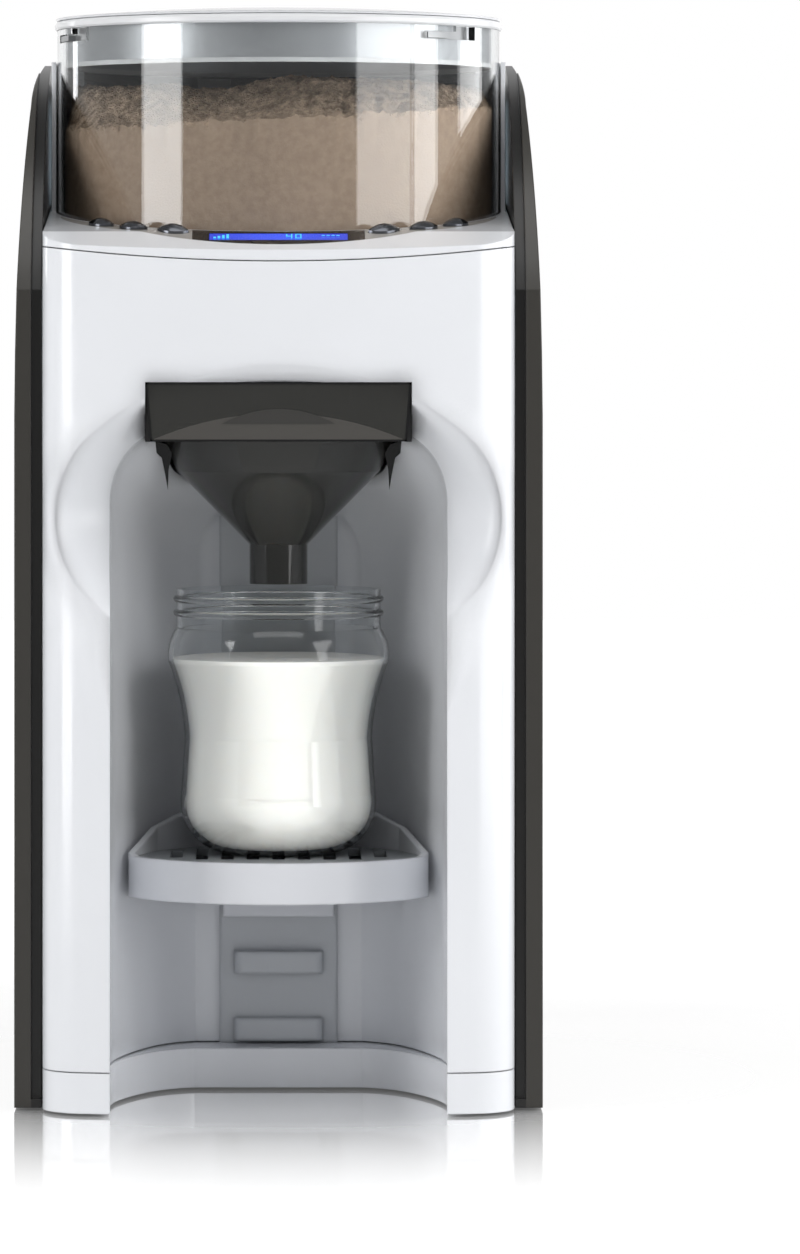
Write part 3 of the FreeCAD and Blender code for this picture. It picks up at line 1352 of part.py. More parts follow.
def make_tank():
    """The water tank with its valve and seat, and the lid that hinges at its back edge."""
    hollowed = cut(
        "tank_hollowed",
        tank_block("tank_outside", "0", "tank_floor", "tank_top"),
        tank_block("tank_inside", "tank_wall", "tank_floor + tank_wall", "tank_top + 1"),
    )
    hinge_z = "(tank_top + hinge_rise)"
    ears = []
    knuckles = []
    pins = []
    for side in (-1, 1):
        low = f"{side} * knuckle_x - knuckle_length / 2"
        high = f"{side} * knuckle_x + knuckle_length / 2"
        for way, edge in ((-1, low), (1, high)):
            near = f"{edge} + {way} * small_gap"
            far = f"{edge} + {way} * (small_gap + ear_length)"
            span = (far, near) if way < 0 else (near, far)
            arm = box(f"ear_arm{side + 1}{way + 1}", span, ("tank_back_y - 1", "hinge_y"),
                      (f"{hinge_z} - 2 * knuckle_radius", "tank_top"))
            eye = bar(f"ear_eye{side + 1}{way + 1}", "knuckle_radius", *span, "hinge_y", hinge_z)
            ears += [arm, eye]
        reach = "(small_gap + ear_length)"
        pins.append(bar(f"pin{side + 1}", "pin_radius", f"{low} - {reach}", f"{high} + {reach}", "hinge_y",
                        hinge_z))
        knuckles.append((low, high, side))
    pin_ways = [
        bar(f"pin_way{side + 1}", "pin_radius", f"{side} * knuckle_x - knuckle_length",
            f"{side} * knuckle_x + knuckle_length",
            "hinge_y", hinge_z)
        for side in (-1, 1)
    ]
    valve_hole = rod("valve_hole", "valve_radius", "tank_floor - 1", "tank_floor + 9", "0", "valve_y")
    node(cut("tank", fuse("tank_ears", hollowed, *ears), valve_hole, *pin_ways), "water_tank")
    node(compound("pins", pins), "tank_lid_pins")

    valve = fuse(
        "valve_solid",
        rod("valve_stem", "valve_radius - running_gap", "tank_floor - valve_drop", "tank_floor + tank_wall",
            "0", "valve_y"),
        rod("valve_flange", "valve_radius + 4", "tank_floor + tank_wall", "tank_floor + tank_wall + 2", "0",
            "valve_y"),
    )
    node(cut("valve", valve, rod("valve_bore", "valve_radius - 2.5", "tank_floor - valve_drop - 1",
                                 "tank_floor + 9", "0", "valve_y")), "tank_valve")
    top = "tank_floor - seat_gap"
    socket = fuse("socket_solid",
                  rod("socket_cup", "socket_radius", f"{top} - socket_depth", top, "0", "valve_y"),
                  rod("socket_spigot", "spigot_radius", f"{top} - socket_depth - 8",
                      f"{top} - socket_depth + 1",
                      "0", "valve_y"))
    node(cut("socket", socket,
             rod("socket_bore", "valve_radius + small_gap", "tank_floor - valve_drop - small_gap",
                 "tank_floor + 9", "0", "valve_y"),
             rod("socket_way", "spigot_radius - 2", f"{top} - socket_depth - 9", "tank_floor", "0",
                 "valve_y")),
         "tank_valve_socket")

    plate = tank_block("tank_lid_plate", "0", "tank_top + seat_gap", "tank_top + seat_gap + tank_lid_height")
    plug = tank_block("tank_lid_plug", "tank_wall + 1", "tank_top - 3", "tank_top + seat_gap + 1")
    finger_dip = rod("finger_dip", "12", "tank_top + 2.2", "tank_top + 9", "0", "tank_front_y + 18")
    swing = rod_between_knuckles(knuckles, hinge_z)
    bores = [
        bar(f"knuckle_bore{side + 1}", "pin_radius + running_gap", f"{side} * knuckle_x - knuckle_length",
            f"{side} * knuckle_x + knuckle_length", "hinge_y", hinge_z)
        for side in (-1, 1)
    ]
    node(cut("lid", fuse("lid_solid", plate, plug, *swing), finger_dip, *bores), "tank_lid")


def rod_between_knuckles(knuckles, hinge_z):
    """The lid's two knuckles and the webs that join them to its plate."""
    made = []
    for low, high, side in knuckles:
        made.append(bar(f"knuckle{side + 1}", "knuckle_radius", low, high, "hinge_y", hinge_z))
        made.append(box(f"web{side + 1}", (low, high), ("tank_back_y - 2", "hinge_y"),
                        ("tank_top + seat_gap", "tank_top + seat_gap + tank_lid_height")))
    return made


# ---------------------------------------------------------------- works inside

def hose(name, points):
    """A hose of straight runs and round bends, from one spigot's end face to the next."""
    spots = [FreeCAD.Vector(*(size(value) for value in point)) for point in points]
    bend = size("hose_bend")
    edges = []
    start = spots[0]
    for before, corner, after in zip(spots, spots[1:], spots[2:]):
        come = (corner - before).normalize()
        go = (after - corner).normalize()
        turn_angle = come.getAngle(go)
        trim = bend * math.tan(turn_angle / 2)
        first = corner - come * trim
        last = corner + go * trim
        inward = (go - come).normalize()
        middle = corner + inward * (bend / math.cos(turn_angle / 2) - bend)
        edges.append(Part.LineSegment(start, first).toShape())
        edges.append(Part.Arc(first, middle, last).toShape())
        start = last
    edges.append(Part.LineSegment(start, spots[-1]).toShape())
    path = Part.Wire(edges)
    rings = [
        Part.Wire(Part.Circle(spots[0], spots[1] - spots[0], radius).toShape())
        for radius in (size("hose_radius"), size("hose_radius") - 1.5)
    ]
    pipes = [path.makePipeShell([ring], True, False) for ring in rings]
    feature = doc.addObject("Part::Feature", name)
    feature.Shape = pipes[0].cut(pipes[1])
    return feature


def make_works():
    frame_top = "gearbox_top - gearbox_height - chassis_thickness"
    back = "chassis_y + chassis_thickness"
    floor = "foot_height + wall"
    plate = box("chassis_plate", ("-chassis_half", "chassis_half"), ("chassis_y", back), (floor, frame_top))
    shelf = box("chassis_shelf", ("-chassis_half", "chassis_half"), (f"{back} - 1", "shelf_back_y"),
                ("shelf_z", "shelf_z + chassis_thickness"))
    legs = [
        box(f"leg{side + 1}", (f"{side} * (chassis_half - 4) - 4", f"{side} * (chassis_half - 4) + 4"),
            ("shelf_back_y - 6", "shelf_back_y"), (floor, "shelf_z + 1"))
        for side in (-1, 1)
    ]
    lightening = [
        box(f"chassis_window{row}{side + 1}", (f"{side} * 40 - 18", f"{side} * 40 + 18"),
            ("chassis_y - 1", f"{back} + 1"), (f"{30 + 84 * row}", f"{90 + 84 * row}"))
        for row in range(3) for side in (-1, 1)
    ]
    ways = [
        rod("hot_way", "hose_radius + 3", "shelf_z - 9", "shelf_z + 9", "heater_x", "heater_y"),
        rod("cold_way", "hose_radius + 3", "shelf_z - 9", "shelf_z + 9", "0", "valve_y"),
    ]
    solid = cut("chassis_solid", fuse("chassis_raw", plate, shelf, *legs), *lightening, *ways)
    node(solid, "main_chassis")

    heater = fuse(
        "heater_solid",
        rod("heater_can", "heater_radius", "heater_bottom", "heater_top", "heater_x", "heater_y"),
        rod("heater_foot", "heater_radius - 6", floor, "heater_bottom", "heater_x", "heater_y"),
        rod("heater_out", "spigot_radius", "heater_top", "heater_top + 8", "heater_x", "heater_y"),
        bar("heater_in", "spigot_radius", "heater_x - heater_radius - 8", "heater_x", "heater_y",
            "pump_z"),
    )
    node(heater, "water_heater")

    pump = fuse(
        "pump_solid",
        spike("pump_can", "pump_radius", "pump_y - pump_length / 2", "pump_y + pump_length / 2", "pump_x",
              "pump_z"),
        box("pump_foot", ("pump_x - 14", "pump_x + 14"), ("pump_y - 20", "pump_y + 20"), (floor, "pump_z")),
        bar("pump_out", "spigot_radius", "pump_x", "pump_x + pump_radius + 8", "pump_y", "pump_z"),
        rod("pump_in", "spigot_radius", "pump_z", "pump_z + pump_radius + 8", "pump_x", "pump_y + 20"),
    )
    node(pump, "water_pump")

    node(bar("pump_hose", "hose_radius", "pump_x + pump_radius + 8", "heater_x - heater_radius - 8",
             "pump_y", "pump_z"), "pump_hose")
    drop = "tank_floor - seat_gap - socket_depth - 8"
    node(hose("supply_hose", [
        ("0", "valve_y", drop),
        ("0", "valve_y", "shelf_z - 20"),
        ("pump_x", "valve_y", "shelf_z - 20"),
        ("pump_x", "pump_y + 20", "shelf_z - 20"),
        ("pump_x", "pump_y + 20", "pump_z + pump_radius + 8"),
    ]), "supply_hose")
    over = "gearbox_top - 12"
    node(hose("hot_hose", [
        ("heater_x", "heater_y", "heater_top + 8"),
        ("heater_x", "heater_y", "shelf_z + 30"),
        ("heater_x", "heater_y - 26", "shelf_z + 30"),
        ("heater_x", "heater_y - 26", over),
        ("heater_x", "nozzle_y", over),
        ("nozzle_x", "nozzle_y", over),
        ("nozzle_x", "nozzle_y", "tunnel_roof + 6"),
    ]), "hot_hose")

    board_low = "shelf_z + chassis_thickness + 4"
    board = box("pcb", ("-60", "20"), ("10", "75"), (board_low, f"{board_low} + board_thickness"))
    parts = [
        rod("capacitor", "8", f"{board_low} + board_thickness", f"{board_low} + 24", "-45", "25"),
        box("transformer", ("-28", "0"), ("20", "48"), (f"{board_low} + board_thickness",
                                                        f"{board_low} + 22")),
        box("relay", ("-52", "-38"), ("50", "68"), (f"{board_low} + board_thickness", f"{board_low} + 14")),
    ]
    standoffs = [
        rod(f"standoff{column}{line}", "3", "shelf_z + chassis_thickness", board_low, f"{x}", f"{y}")
        for column, x in enumerate((-54, 14)) for line, y in enumerate((16, 69))
    ]
    node(fuse("power_board_solid", board, *parts, *standoffs), "power_board")

    shell = box("inlet_shell", ("inlet_x - inlet_half_width", "inlet_x + inlet_half_width"),
                ("rear_y - inlet_depth", "rear_y"),
                ("inlet_z - inlet_half_height", "inlet_z + inlet_half_height"))
    mouth = box("inlet_mouth", ("inlet_x - inlet_half_width + 2", "inlet_x + inlet_half_width - 2"),
                ("rear_y - inlet_depth + 2.5", "rear_y + 1"),
                ("inlet_z - inlet_half_height + 2", "inlet_z + inlet_half_height - 2"))
    blades = [
        box(f"blade{count + 1}", (f"inlet_x + {7 * count} - 1", f"inlet_x + {7 * count} + 1"),
            ("rear_y - inlet_depth + 2", "rear_y - 3"),
            (f"inlet_z + {2.5 if count else -2.5} - 2", f"inlet_z + {2.5 if count else -2.5} + 2"))
        for count in (-1, 0, 1)
    ]
    node(fuse("inlet", cut("inlet_cup", shell, mouth), *blades), "power_inlet")


make_plinth()
make_rear_shell()
make_side_panels()
make_upper_housing()
make_control_panel()
make_hopper()
make_lid()
make_drive()
make_funnel()
make_stand()
make_bottle()
make_tank()
make_works()
doc.recompute()

# ---------------------------------------------------------------- check and write

for thing in doc.Objects:
    if "Invalid" in thing.State or "Error" in thing.State:
        raise RuntimeError(f"{thing.Name} failed: {thing.State}")
os.makedirs("parts", exist_ok=True)
for label, thing in nodes.items():
    shape = thing.Shape
    if shape.isNull() or not shape.isValid() or not shape.Solids:
        raise RuntimeError(f"{label} has no valid solid")
for label, thing in nodes.items():
    thing.Shape.exportStep(os.path.join("parts", f"{label}.step"))
print(len(nodes), "pieces written")
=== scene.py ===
import bpy
import math
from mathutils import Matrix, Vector, noise


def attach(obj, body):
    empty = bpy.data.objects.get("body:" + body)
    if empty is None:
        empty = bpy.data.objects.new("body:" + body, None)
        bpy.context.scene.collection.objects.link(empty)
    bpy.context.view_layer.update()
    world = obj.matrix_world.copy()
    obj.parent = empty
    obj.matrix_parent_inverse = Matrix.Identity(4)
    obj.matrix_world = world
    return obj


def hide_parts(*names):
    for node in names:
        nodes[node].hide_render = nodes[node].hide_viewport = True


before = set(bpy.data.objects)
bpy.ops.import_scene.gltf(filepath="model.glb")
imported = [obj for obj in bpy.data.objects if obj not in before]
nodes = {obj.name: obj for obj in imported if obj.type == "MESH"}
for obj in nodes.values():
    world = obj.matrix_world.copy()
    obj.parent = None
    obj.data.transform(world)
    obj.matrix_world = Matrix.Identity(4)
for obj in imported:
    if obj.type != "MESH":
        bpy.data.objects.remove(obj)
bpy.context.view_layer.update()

# ---------------------------------------------------------------- sizes
# Everything up to the stage is in millimetres, and MM turns it into metres.

MM = 0.001
MERGE = 0.01 * MM
HOPPER_Y = -41.5
FUNNEL_Y = -74.0

# The deck round the hopper: its height on the hopper's axis, its fall, and the steeper front part.
DECK_HEIGHT = 315.1
DECK_TILT = math.radians(6.2)
DECK_SLOPE = math.radians(10.0)
DECK_BEND = 81.0

# The crescent of trim: its outer arc lies in front of the hopper's axis, its inner arc about it.
LUNE_RADIUS = 77.7
LUNE_SHIFT = 19.5
LUNE_INNER = 81.2

# The powder: its line on the front wall climbs to the right, and a crown with a hollow rises behind it.
POWDER_RADIUS = 76.7
POWDER_FLOOR = 306.5
POWDER_STEPS = (12.0, 14.0, 12.0)
POWDER_LINE = 345.8
POWDER_CLIMB = 0.0526
POWDER_BOW = 0.000294
POWDER_CROWN = 360.0
CROWN_DEPTH = 36.0
CROWN_SWAY = 1.2
CROWN_WAVE = 21.0
HOLLOW_X = -21.0
HOLLOW_DEPTH = 3.2
HOLLOW_SPREAD = 160.0

# Its lumps: how wide and how high they are, and the share of the radius over which they die at the wall.
RAGGED_FINE = 2.2
RAGGED_WIDE = 9.0
RAGGED_HEIGHT = 1.7
CLOD_SIZE = 5.0
CLOD_HEIGHT = 1.7
GRIT_SIZE = 1.8
GRIT_HEIGHT = 0.7
WALL_FADE = 0.03

# Its mesh: points round, rings inwards, and what the last ring leaves, in rings.
HEAP_POINTS = 320
HEAP_RINGS = 70
HEAP_CORE = 0.4

# The funnel: its front plate, half the width of the strip round it, and how finely its insert is turned.
PLATE_FACE = -140.4
HOOD_FOOT = 233.9
EDGE_HALF = 0.35
TURN_STEPS = 96

# The buttons: degrees from the middle to the first and on to the next, then the lens shape.
KEYS = ("temperature", "volume", "powder", "info", "clean", "start")
BUTTON_FIRST = 24.7
BUTTON_PITCH = 11.0
BUTTON_HALF = 6.0
BUTTON_RISE = 3.7
BUTTON_PROUD = 0.8
BUTTON_DOME = 1.9
CAP_LIFT = 0.02
CAP_RINGS = (1.0, 0.97, 0.86, 0.66, 0.4, 0.12)

# The marks on the display, from the hopper's axis.
MARK_LIFT = 0.16
MARK_THICK = 0.12
MARK_FOOT = -90.6
DIGIT_TOP = -85.4
DIGIT_WIDTH = 2.2
DIGIT_STROKE = 0.45


# ---------------------------------------------------------------- finishes

WHITE = (1.0, 1.0, 1.0, 1.0)

# Patterns, in swells per metre: 14 is one in 70 mm, 330 one in 3 mm, and 1400 and 1600 are grains.
DRIFT_SCALE = 14.0
DRIFT_SPREAD = 0.036
PEEL_SCALE = 330.0
GRAIN_SCALE = 1400.0
CLUMP_SCALE = 330.0
POWDER_GRAIN_SCALE = 1600.0

# Where one finish gives way to another: heights, or distances from the middle plane.
SMOOTH_LEVEL = 345.6
LOOSE_LEVEL = 346.8
RAGGED_SWAY = 2.8
SCREEN_HALF = 26.0
WINDOW_HALF = 30.0
# Half-width within which the side panels are painted darker, as painted shade where they meet the shell.
PANEL_SHADE_HALF = 86.25
SKIRT_TOP = 379.3
DISH_FOOT = 150.0
DISH_CROWN = 276.0
DISH_EDGE = 12.0
FOOT_BLEND = 10.0
CROWN_BLEND = 4.0


def colour(code):
    """A linear colour from an sRGB hex value."""
    channels = [int(code[i:i + 2], 16) / 255 for i in (0, 2, 4)]
    return [c / 12.92 if c <= 0.04045 else ((c + 0.055) / 1.055) ** 2.4 for c in channels] + [1.0]


def shades(code, dark, light):
    """The darker and the lighter shade that a colour drifts between."""
    tone = colour(code)[:3]
    return [c * dark for c in tone] + [1.0], [min(c * light, 1.0) for c in tone] + [1.0]


def add(tree, kind, links=None, **settings):
    """Add a node to a material: its settings, then what feeds its sockets."""
    made = tree.nodes.new(kind)
    for name, value in settings.items():
        setattr(made, name, value)
    for socket, value in (links or {}).items():
        if isinstance(value, bpy.types.NodeSocket):
            tree.links.new(value, made.inputs[socket])
        else:
            made.inputs[socket].default_value = value
    return made


def finish(name, build):
    """A material whose nodes the given function lays down, ending in its shader."""
    made = bpy.data.materials.new(name)
    made.use_nodes = True
    tree = made.node_tree
    tree.nodes.clear()
    shader = build(tree)
    add(tree, "ShaderNodeOutputMaterial", {"Surface": shader.outputs[0]})
    return made


def moulded(code, rough, peel=0.02, coat=0.0, specular=0.5, edge=0.0, inner=None, soft=None):
    """Injection-moulded plastic: a colour that drifts faintly over about 70 mm, and the soft orange
    peel of a polished mould, about 3 mm from swell to swell. Corners catch the light over a small
    radius, which is wider between the foot and the crown of a soft zone. A second colour lies within
    a distance of the middle plane: the window's own black on the control panel, and painted shade
    on the side panels' inner part, where they meet the shell."""
    def build(tree):
        place = add(tree, "ShaderNodeTexCoord").outputs["Object"]
        drift = add(tree, "ShaderNodeTexNoise", {"Vector": place, "Scale": DRIFT_SCALE, "Detail": 2.0})
        low, high = shades(code, 1 - DRIFT_SPREAD, 1 + DRIFT_SPREAD)
        tone = add(tree, "ShaderNodeMix", {0: drift.outputs["Fac"], 6: low, 7: high}, data_type="RGBA")
        if inner:
            limit, second = inner
            axes = add(tree, "ShaderNodeSeparateXYZ", {"Vector": place})
            off = add(tree, "ShaderNodeMath", {0: axes.outputs["X"]}, operation="ABSOLUTE")
            near = add(tree, "ShaderNodeMath", {0: off.outputs[0], 1: limit * MM}, operation="LESS_THAN")
            tone = add(tree, "ShaderNodeMix", {
                0: near.outputs[0], 6: tone.outputs[2], 7: colour(second)}, data_type="RGBA")
        swell = add(tree, "ShaderNodeTexNoise", {"Vector": place, "Scale": PEEL_SCALE, "Detail": 1.0})
        relief = {"Strength": peel, "Distance": 0.4 * MM, "Height": swell.outputs["Fac"]}
        if edge:
            radius = edge * MM
            if soft:
                foot, crown, wide = soft
                level = add(tree, "ShaderNodeSeparateXYZ", {"Vector": place}).outputs["Z"]
                above = add(tree, "ShaderNodeMapRange", {
                    "Value": level, "From Min": (foot - FOOT_BLEND) * MM,
                    "From Max": (foot + FOOT_BLEND) * MM})
                below = add(tree, "ShaderNodeMapRange", {
                    "Value": level, "From Min": crown * MM, "From Max": (crown - CROWN_BLEND) * MM})
                zone = add(tree, "ShaderNodeMath", {0: above.outputs[0], 1: below.outputs[0]},
                           operation="MULTIPLY")
                radius = add(tree, "ShaderNodeMapRange", {
                    "Value": zone.outputs[0], "To Min": edge * MM, "To Max": wide * MM}).outputs[0]
            rounded = add(tree, "ShaderNodeBevel", {"Radius": radius}, samples=8 if soft else 4)
            relief["Normal"] = rounded.outputs[0]
        bump = add(tree, "ShaderNodeBump", relief)
        smear = add(tree, "ShaderNodeMapRange", {
            "Value": drift.outputs["Fac"], "From Min": 0.1, "From Max": 0.9,
            "To Min": rough * 0.85, "To Max": rough * 1.2})
        return add(tree, "ShaderNodeBsdfPrincipled", {
            "Base Color": tone.outputs[2], "Roughness": smear.outputs["Result"],
            "Normal": bump.outputs["Normal"], "IOR": 1.5, "Coat Weight": coat,
            "Specular IOR Level": specular})
    return build


def grained(code, rough, depth=0.15):
    """Plastic from a spark-eroded mould: a fine even grain of about 0.7 mm that dulls the shine."""
    def build(tree):
        place = add(tree, "ShaderNodeTexCoord").outputs["Object"]
        pits = add(tree, "ShaderNodeTexNoise", {"Vector": place, "Scale": GRAIN_SCALE, "Detail": 2.0})
        drift = add(tree, "ShaderNodeTexNoise", {"Vector": place, "Scale": 20.0})
        low, high = shades(code, 0.92, 1.06)
        tone = add(tree, "ShaderNodeMix", {0: drift.outputs["Fac"], 6: low, 7: high}, data_type="RGBA")
        bump = add(tree, "ShaderNodeBump", {
            "Strength": depth, "Distance": 0.2 * MM, "Height": pits.outputs["Fac"]})
        return add(tree, "ShaderNodeBsdfPrincipled", {
            "Base Color": tone.outputs[2], "Roughness": rough, "Normal": bump.outputs["Normal"],
            "IOR": 1.5})
    return build


def clear(code, rough=0.02, ior=1.45, weight=1.0):
    """Clear moulded plastic: bright edges, a trace of colour and slow swells in the wall."""
    def build(tree):
        place = add(tree, "ShaderNodeTexCoord").outputs["Object"]
        swell = add(tree, "ShaderNodeTexNoise", {"Vector": place, "Scale": 60.0})
        bump = add(tree, "ShaderNodeBump", {
            "Strength": 0.02, "Distance": 0.6 * MM, "Height": swell.outputs["Fac"]})
        return add(tree, "ShaderNodeBsdfPrincipled", {
            "Base Color": colour(code), "Roughness": rough, "IOR": ior, "Transmission Weight": weight,
            "Normal": bump.outputs["Normal"]})
    return build


def metal(code, rough):
    """Bare metal, drawn or turned: fine upright lines that spread the shine."""
    def build(tree):
        place = add(tree, "ShaderNodeTexCoord").outputs["Object"]
        stretch = add(tree, "ShaderNodeMapping", {"Vector": place, "Scale": (400.0, 400.0, 12.0)})
        lines = add(tree, "ShaderNodeTexNoise", {
            "Vector": stretch.outputs["Vector"], "Scale": 1.0, "Detail": 3.0})
        smear = add(tree, "ShaderNodeMapRange", {
            "Value": lines.outputs["Fac"], "To Min": rough * 0.7, "To Max": rough * 1.3})
        return add(tree, "ShaderNodeBsdfPrincipled", {
            "Base Color": colour(code), "Metallic": 1.0, "Roughness": smear.outputs["Result"]})
    return build


def rubbery(code, rough):
    """Moulded rubber: dull, with a faint bloom."""
    def build(tree):
        place = add(tree, "ShaderNodeTexCoord").outputs["Object"]
        bloom = add(tree, "ShaderNodeTexNoise", {"Vector": place, "Scale": 90.0, "Detail": 3.0})
        low, high = shades(code, 1.0, 1.25)
        tone = add(tree, "ShaderNodeMix", {0: bloom.outputs["Fac"], 6: low, 7: high}, data_type="RGBA")
        return add(tree, "ShaderNodeBsdfPrincipled", {"Base Color": tone.outputs[2], "Roughness": rough})
    return build


def loose_powder(tree):
    """Milk powder: smooth where it is pressed to the front wall, crumbly and mottled on the loose slope
    above, with clumps of about 3 mm over grains of about 0.6 mm. A ragged line parts the two and
    climbs to the right."""
    place = add(tree, "ShaderNodeTexCoord").outputs["Object"]
    axes = add(tree, "ShaderNodeSeparateXYZ", {"Vector": place})
    climb = add(tree, "ShaderNodeMath", {0: axes.outputs["X"], 1: POWDER_CLIMB}, operation="MULTIPLY")
    level = add(tree, "ShaderNodeMath", {0: axes.outputs["Z"], 1: climb.outputs[0]}, operation="SUBTRACT")
    ragged = add(tree, "ShaderNodeTexNoise", {
        "Vector": place, "Scale": 260.0, "Detail": 3.0, "Roughness": 0.6})
    sway = add(tree, "ShaderNodeMapRange", {
        "Value": ragged.outputs["Fac"], "From Min": 0.3, "From Max": 0.7,
        "To Min": -RAGGED_SWAY * MM, "To Max": RAGGED_SWAY * MM})
    line = add(tree, "ShaderNodeMath", {0: level.outputs[0], 1: sway.outputs["Result"]}, operation="ADD")
    loose = add(tree, "ShaderNodeMapRange", {
        "Value": line.outputs[0], "From Min": SMOOTH_LEVEL * MM, "From Max": LOOSE_LEVEL * MM})
    clumps = add(tree, "ShaderNodeTexNoise", {
        "Vector": place, "Scale": CLUMP_SCALE, "Detail": 4.0, "Roughness": 0.7})
    grains = add(tree, "ShaderNodeTexNoise", {
        "Vector": place, "Scale": POWDER_GRAIN_SCALE, "Detail": 1.0})
    height = add(tree, "ShaderNodeMath", {
        0: clumps.outputs["Fac"], 1: grains.outputs["Fac"]}, operation="ADD")
    mottle = add(tree, "ShaderNodeMapRange", {
        "Value": clumps.outputs["Fac"], "From Min": 0.38, "From Max": 0.62})
    top = add(tree, "ShaderNodeMix", {
        0: mottle.outputs["Result"], 6: colour("6a5a4b"), 7: colour("a4917d")}, data_type="RGBA")
    wall = add(tree, "ShaderNodeMix", {
        0: mottle.outputs["Result"], 6: colour("7f6e5e"), 7: colour("897868")}, data_type="RGBA")
    tone = add(tree, "ShaderNodeMix", {
        0: loose.outputs["Result"], 6: wall.outputs[2], 7: top.outputs[2]}, data_type="RGBA")
    strength = add(tree, "ShaderNodeMapRange", {
        "Value": loose.outputs["Result"], "To Min": 0.12, "To Max": 0.95})
    bump = add(tree, "ShaderNodeBump", {
        "Strength": strength.outputs["Result"], "Distance": 1.4 * MM, "Height": height.outputs[0]})
    return add(tree, "ShaderNodeBsdfPrincipled", {
        "Base Color": tone.outputs[2], "Roughness": 0.95, "Normal": bump.outputs["Normal"],
        "Specular IOR Level": 0.1})


def mixed_milk(tree):
    """Milk: white, dense and soft, with light scattered a few millimetres under the surface."""
    place = add(tree, "ShaderNodeTexCoord").outputs["Object"]
    cloud = add(tree, "ShaderNodeTexNoise", {"Vector": place, "Scale": 30.0})
    tone = add(tree, "ShaderNodeMix", {
        0: cloud.outputs["Fac"], 6: colour("fbf9f0"), 7: colour("fffdf6")}, data_type="RGBA")
    return add(tree, "ShaderNodeBsdfPrincipled", {
        "Base Color": tone.outputs[2], "Roughness": 0.25, "Subsurface Weight": 0.3,
        "Subsurface Radius": (0.004, 0.0035, 0.003), "Subsurface Scale": 1.0, "IOR": 1.35})


def lit_screen(tree):
    """A backlit blue display behind its window, darker towards the ends."""
    place = add(tree, "ShaderNodeTexCoord").outputs["Object"]
    axes = add(tree, "ShaderNodeSeparateXYZ", {"Vector": place})
    side = add(tree, "ShaderNodeMath", {0: axes.outputs["X"]}, operation="ABSOLUTE")
    fade = add(tree, "ShaderNodeMapRange", {"Value": side.outputs[0], "From Max": SCREEN_HALF * MM})
    glow = add(tree, "ShaderNodeMix", {
        0: fade.outputs["Result"], 6: colour("3358f4"), 7: colour("1c3ad0")}, data_type="RGBA")
    return add(tree, "ShaderNodeBsdfPrincipled", {
        "Base Color": colour("0a1c66"), "Roughness": 0.12, "Emission Color": glow.outputs[2],
        "Emission Strength": 0.9})


def lit_marks(tree):
    """Cyan marks lit from behind, a little uneven as a backlight is."""
    place = add(tree, "ShaderNodeTexCoord").outputs["Object"]
    cloud = add(tree, "ShaderNodeTexNoise", {"Vector": place, "Scale": 180.0})
    glow = add(tree, "ShaderNodeMix", {
        0: cloud.outputs["Fac"], 6: colour("1fb6ff"), 7: colour("58dcff")}, data_type="RGBA")
    return add(tree, "ShaderNodeBsdfPrincipled", {
        "Base Color": colour("0c4a66"), "Roughness": 0.3, "Emission Color": glow.outputs[2],
        "Emission Strength": 1.0})


def collar_with_shaded_skirt(tree):
    """Pale glossy plastic on the collar's flange. The skirt under it is the same plastic, painted
    silver-grey with a metallic shine as painted shade and painted reflection for its place behind the clear
    wall.
    """
    place = add(tree, "ShaderNodeTexCoord").outputs["Object"]
    axes = add(tree, "ShaderNodeSeparateXYZ", {"Vector": place})
    skirt = add(tree, "ShaderNodeMath", {0: axes.outputs["Z"], 1: SKIRT_TOP * MM}, operation="LESS_THAN")
    drift = add(tree, "ShaderNodeTexNoise", {"Vector": place, "Scale": 25.0})
    # Painted shade and reflection: this silver-grey stands in for the white skirt seen shaded behind the
    # clear wall.
    skirt_shade_grey = add(tree, "ShaderNodeMix", {
        0: drift.outputs["Fac"], 6: colour("8f9193"), 7: colour("a9abad")}, data_type="RGBA")
    tone = add(tree, "ShaderNodeMix", {
        0: skirt.outputs[0], 6: colour("e4e5e7"), 7: skirt_shade_grey.outputs[2]}, data_type="RGBA")
    rough = add(tree, "ShaderNodeMapRange", {"Value": skirt.outputs[0], "To Min": 0.2, "To Max": 0.34})
    shine = add(tree, "ShaderNodeMath", {0: skirt.outputs[0], 1: 0.65}, operation="MULTIPLY")
    return add(tree, "ShaderNodeBsdfPrincipled", {
        "Base Color": tone.outputs[2], "Roughness": rough.outputs["Result"], "Metallic": shine.outputs[0]})


WHITE_ABS = finish("white_gloss_abs", moulded("eceef2", 0.16, coat=0.15, edge=0.8))
FRONT_ABS = finish("white_gloss_front_abs", moulded("eceef2", 0.16, coat=0.15, edge=0.8,
                                                   soft=(DISH_FOOT, DISH_CROWN, DISH_EDGE)))
LID_ABS = finish("pale_lid_abs", moulded("e2e3e6", 0.2, edge=0.6))
COLLAR_ABS = finish("pale_abs_with_painted_shade_skirt", collar_with_shaded_skirt)
STAND_ABS = finish("satin_stand_abs", moulded("dfe1e6", 0.24, edge=1.2))
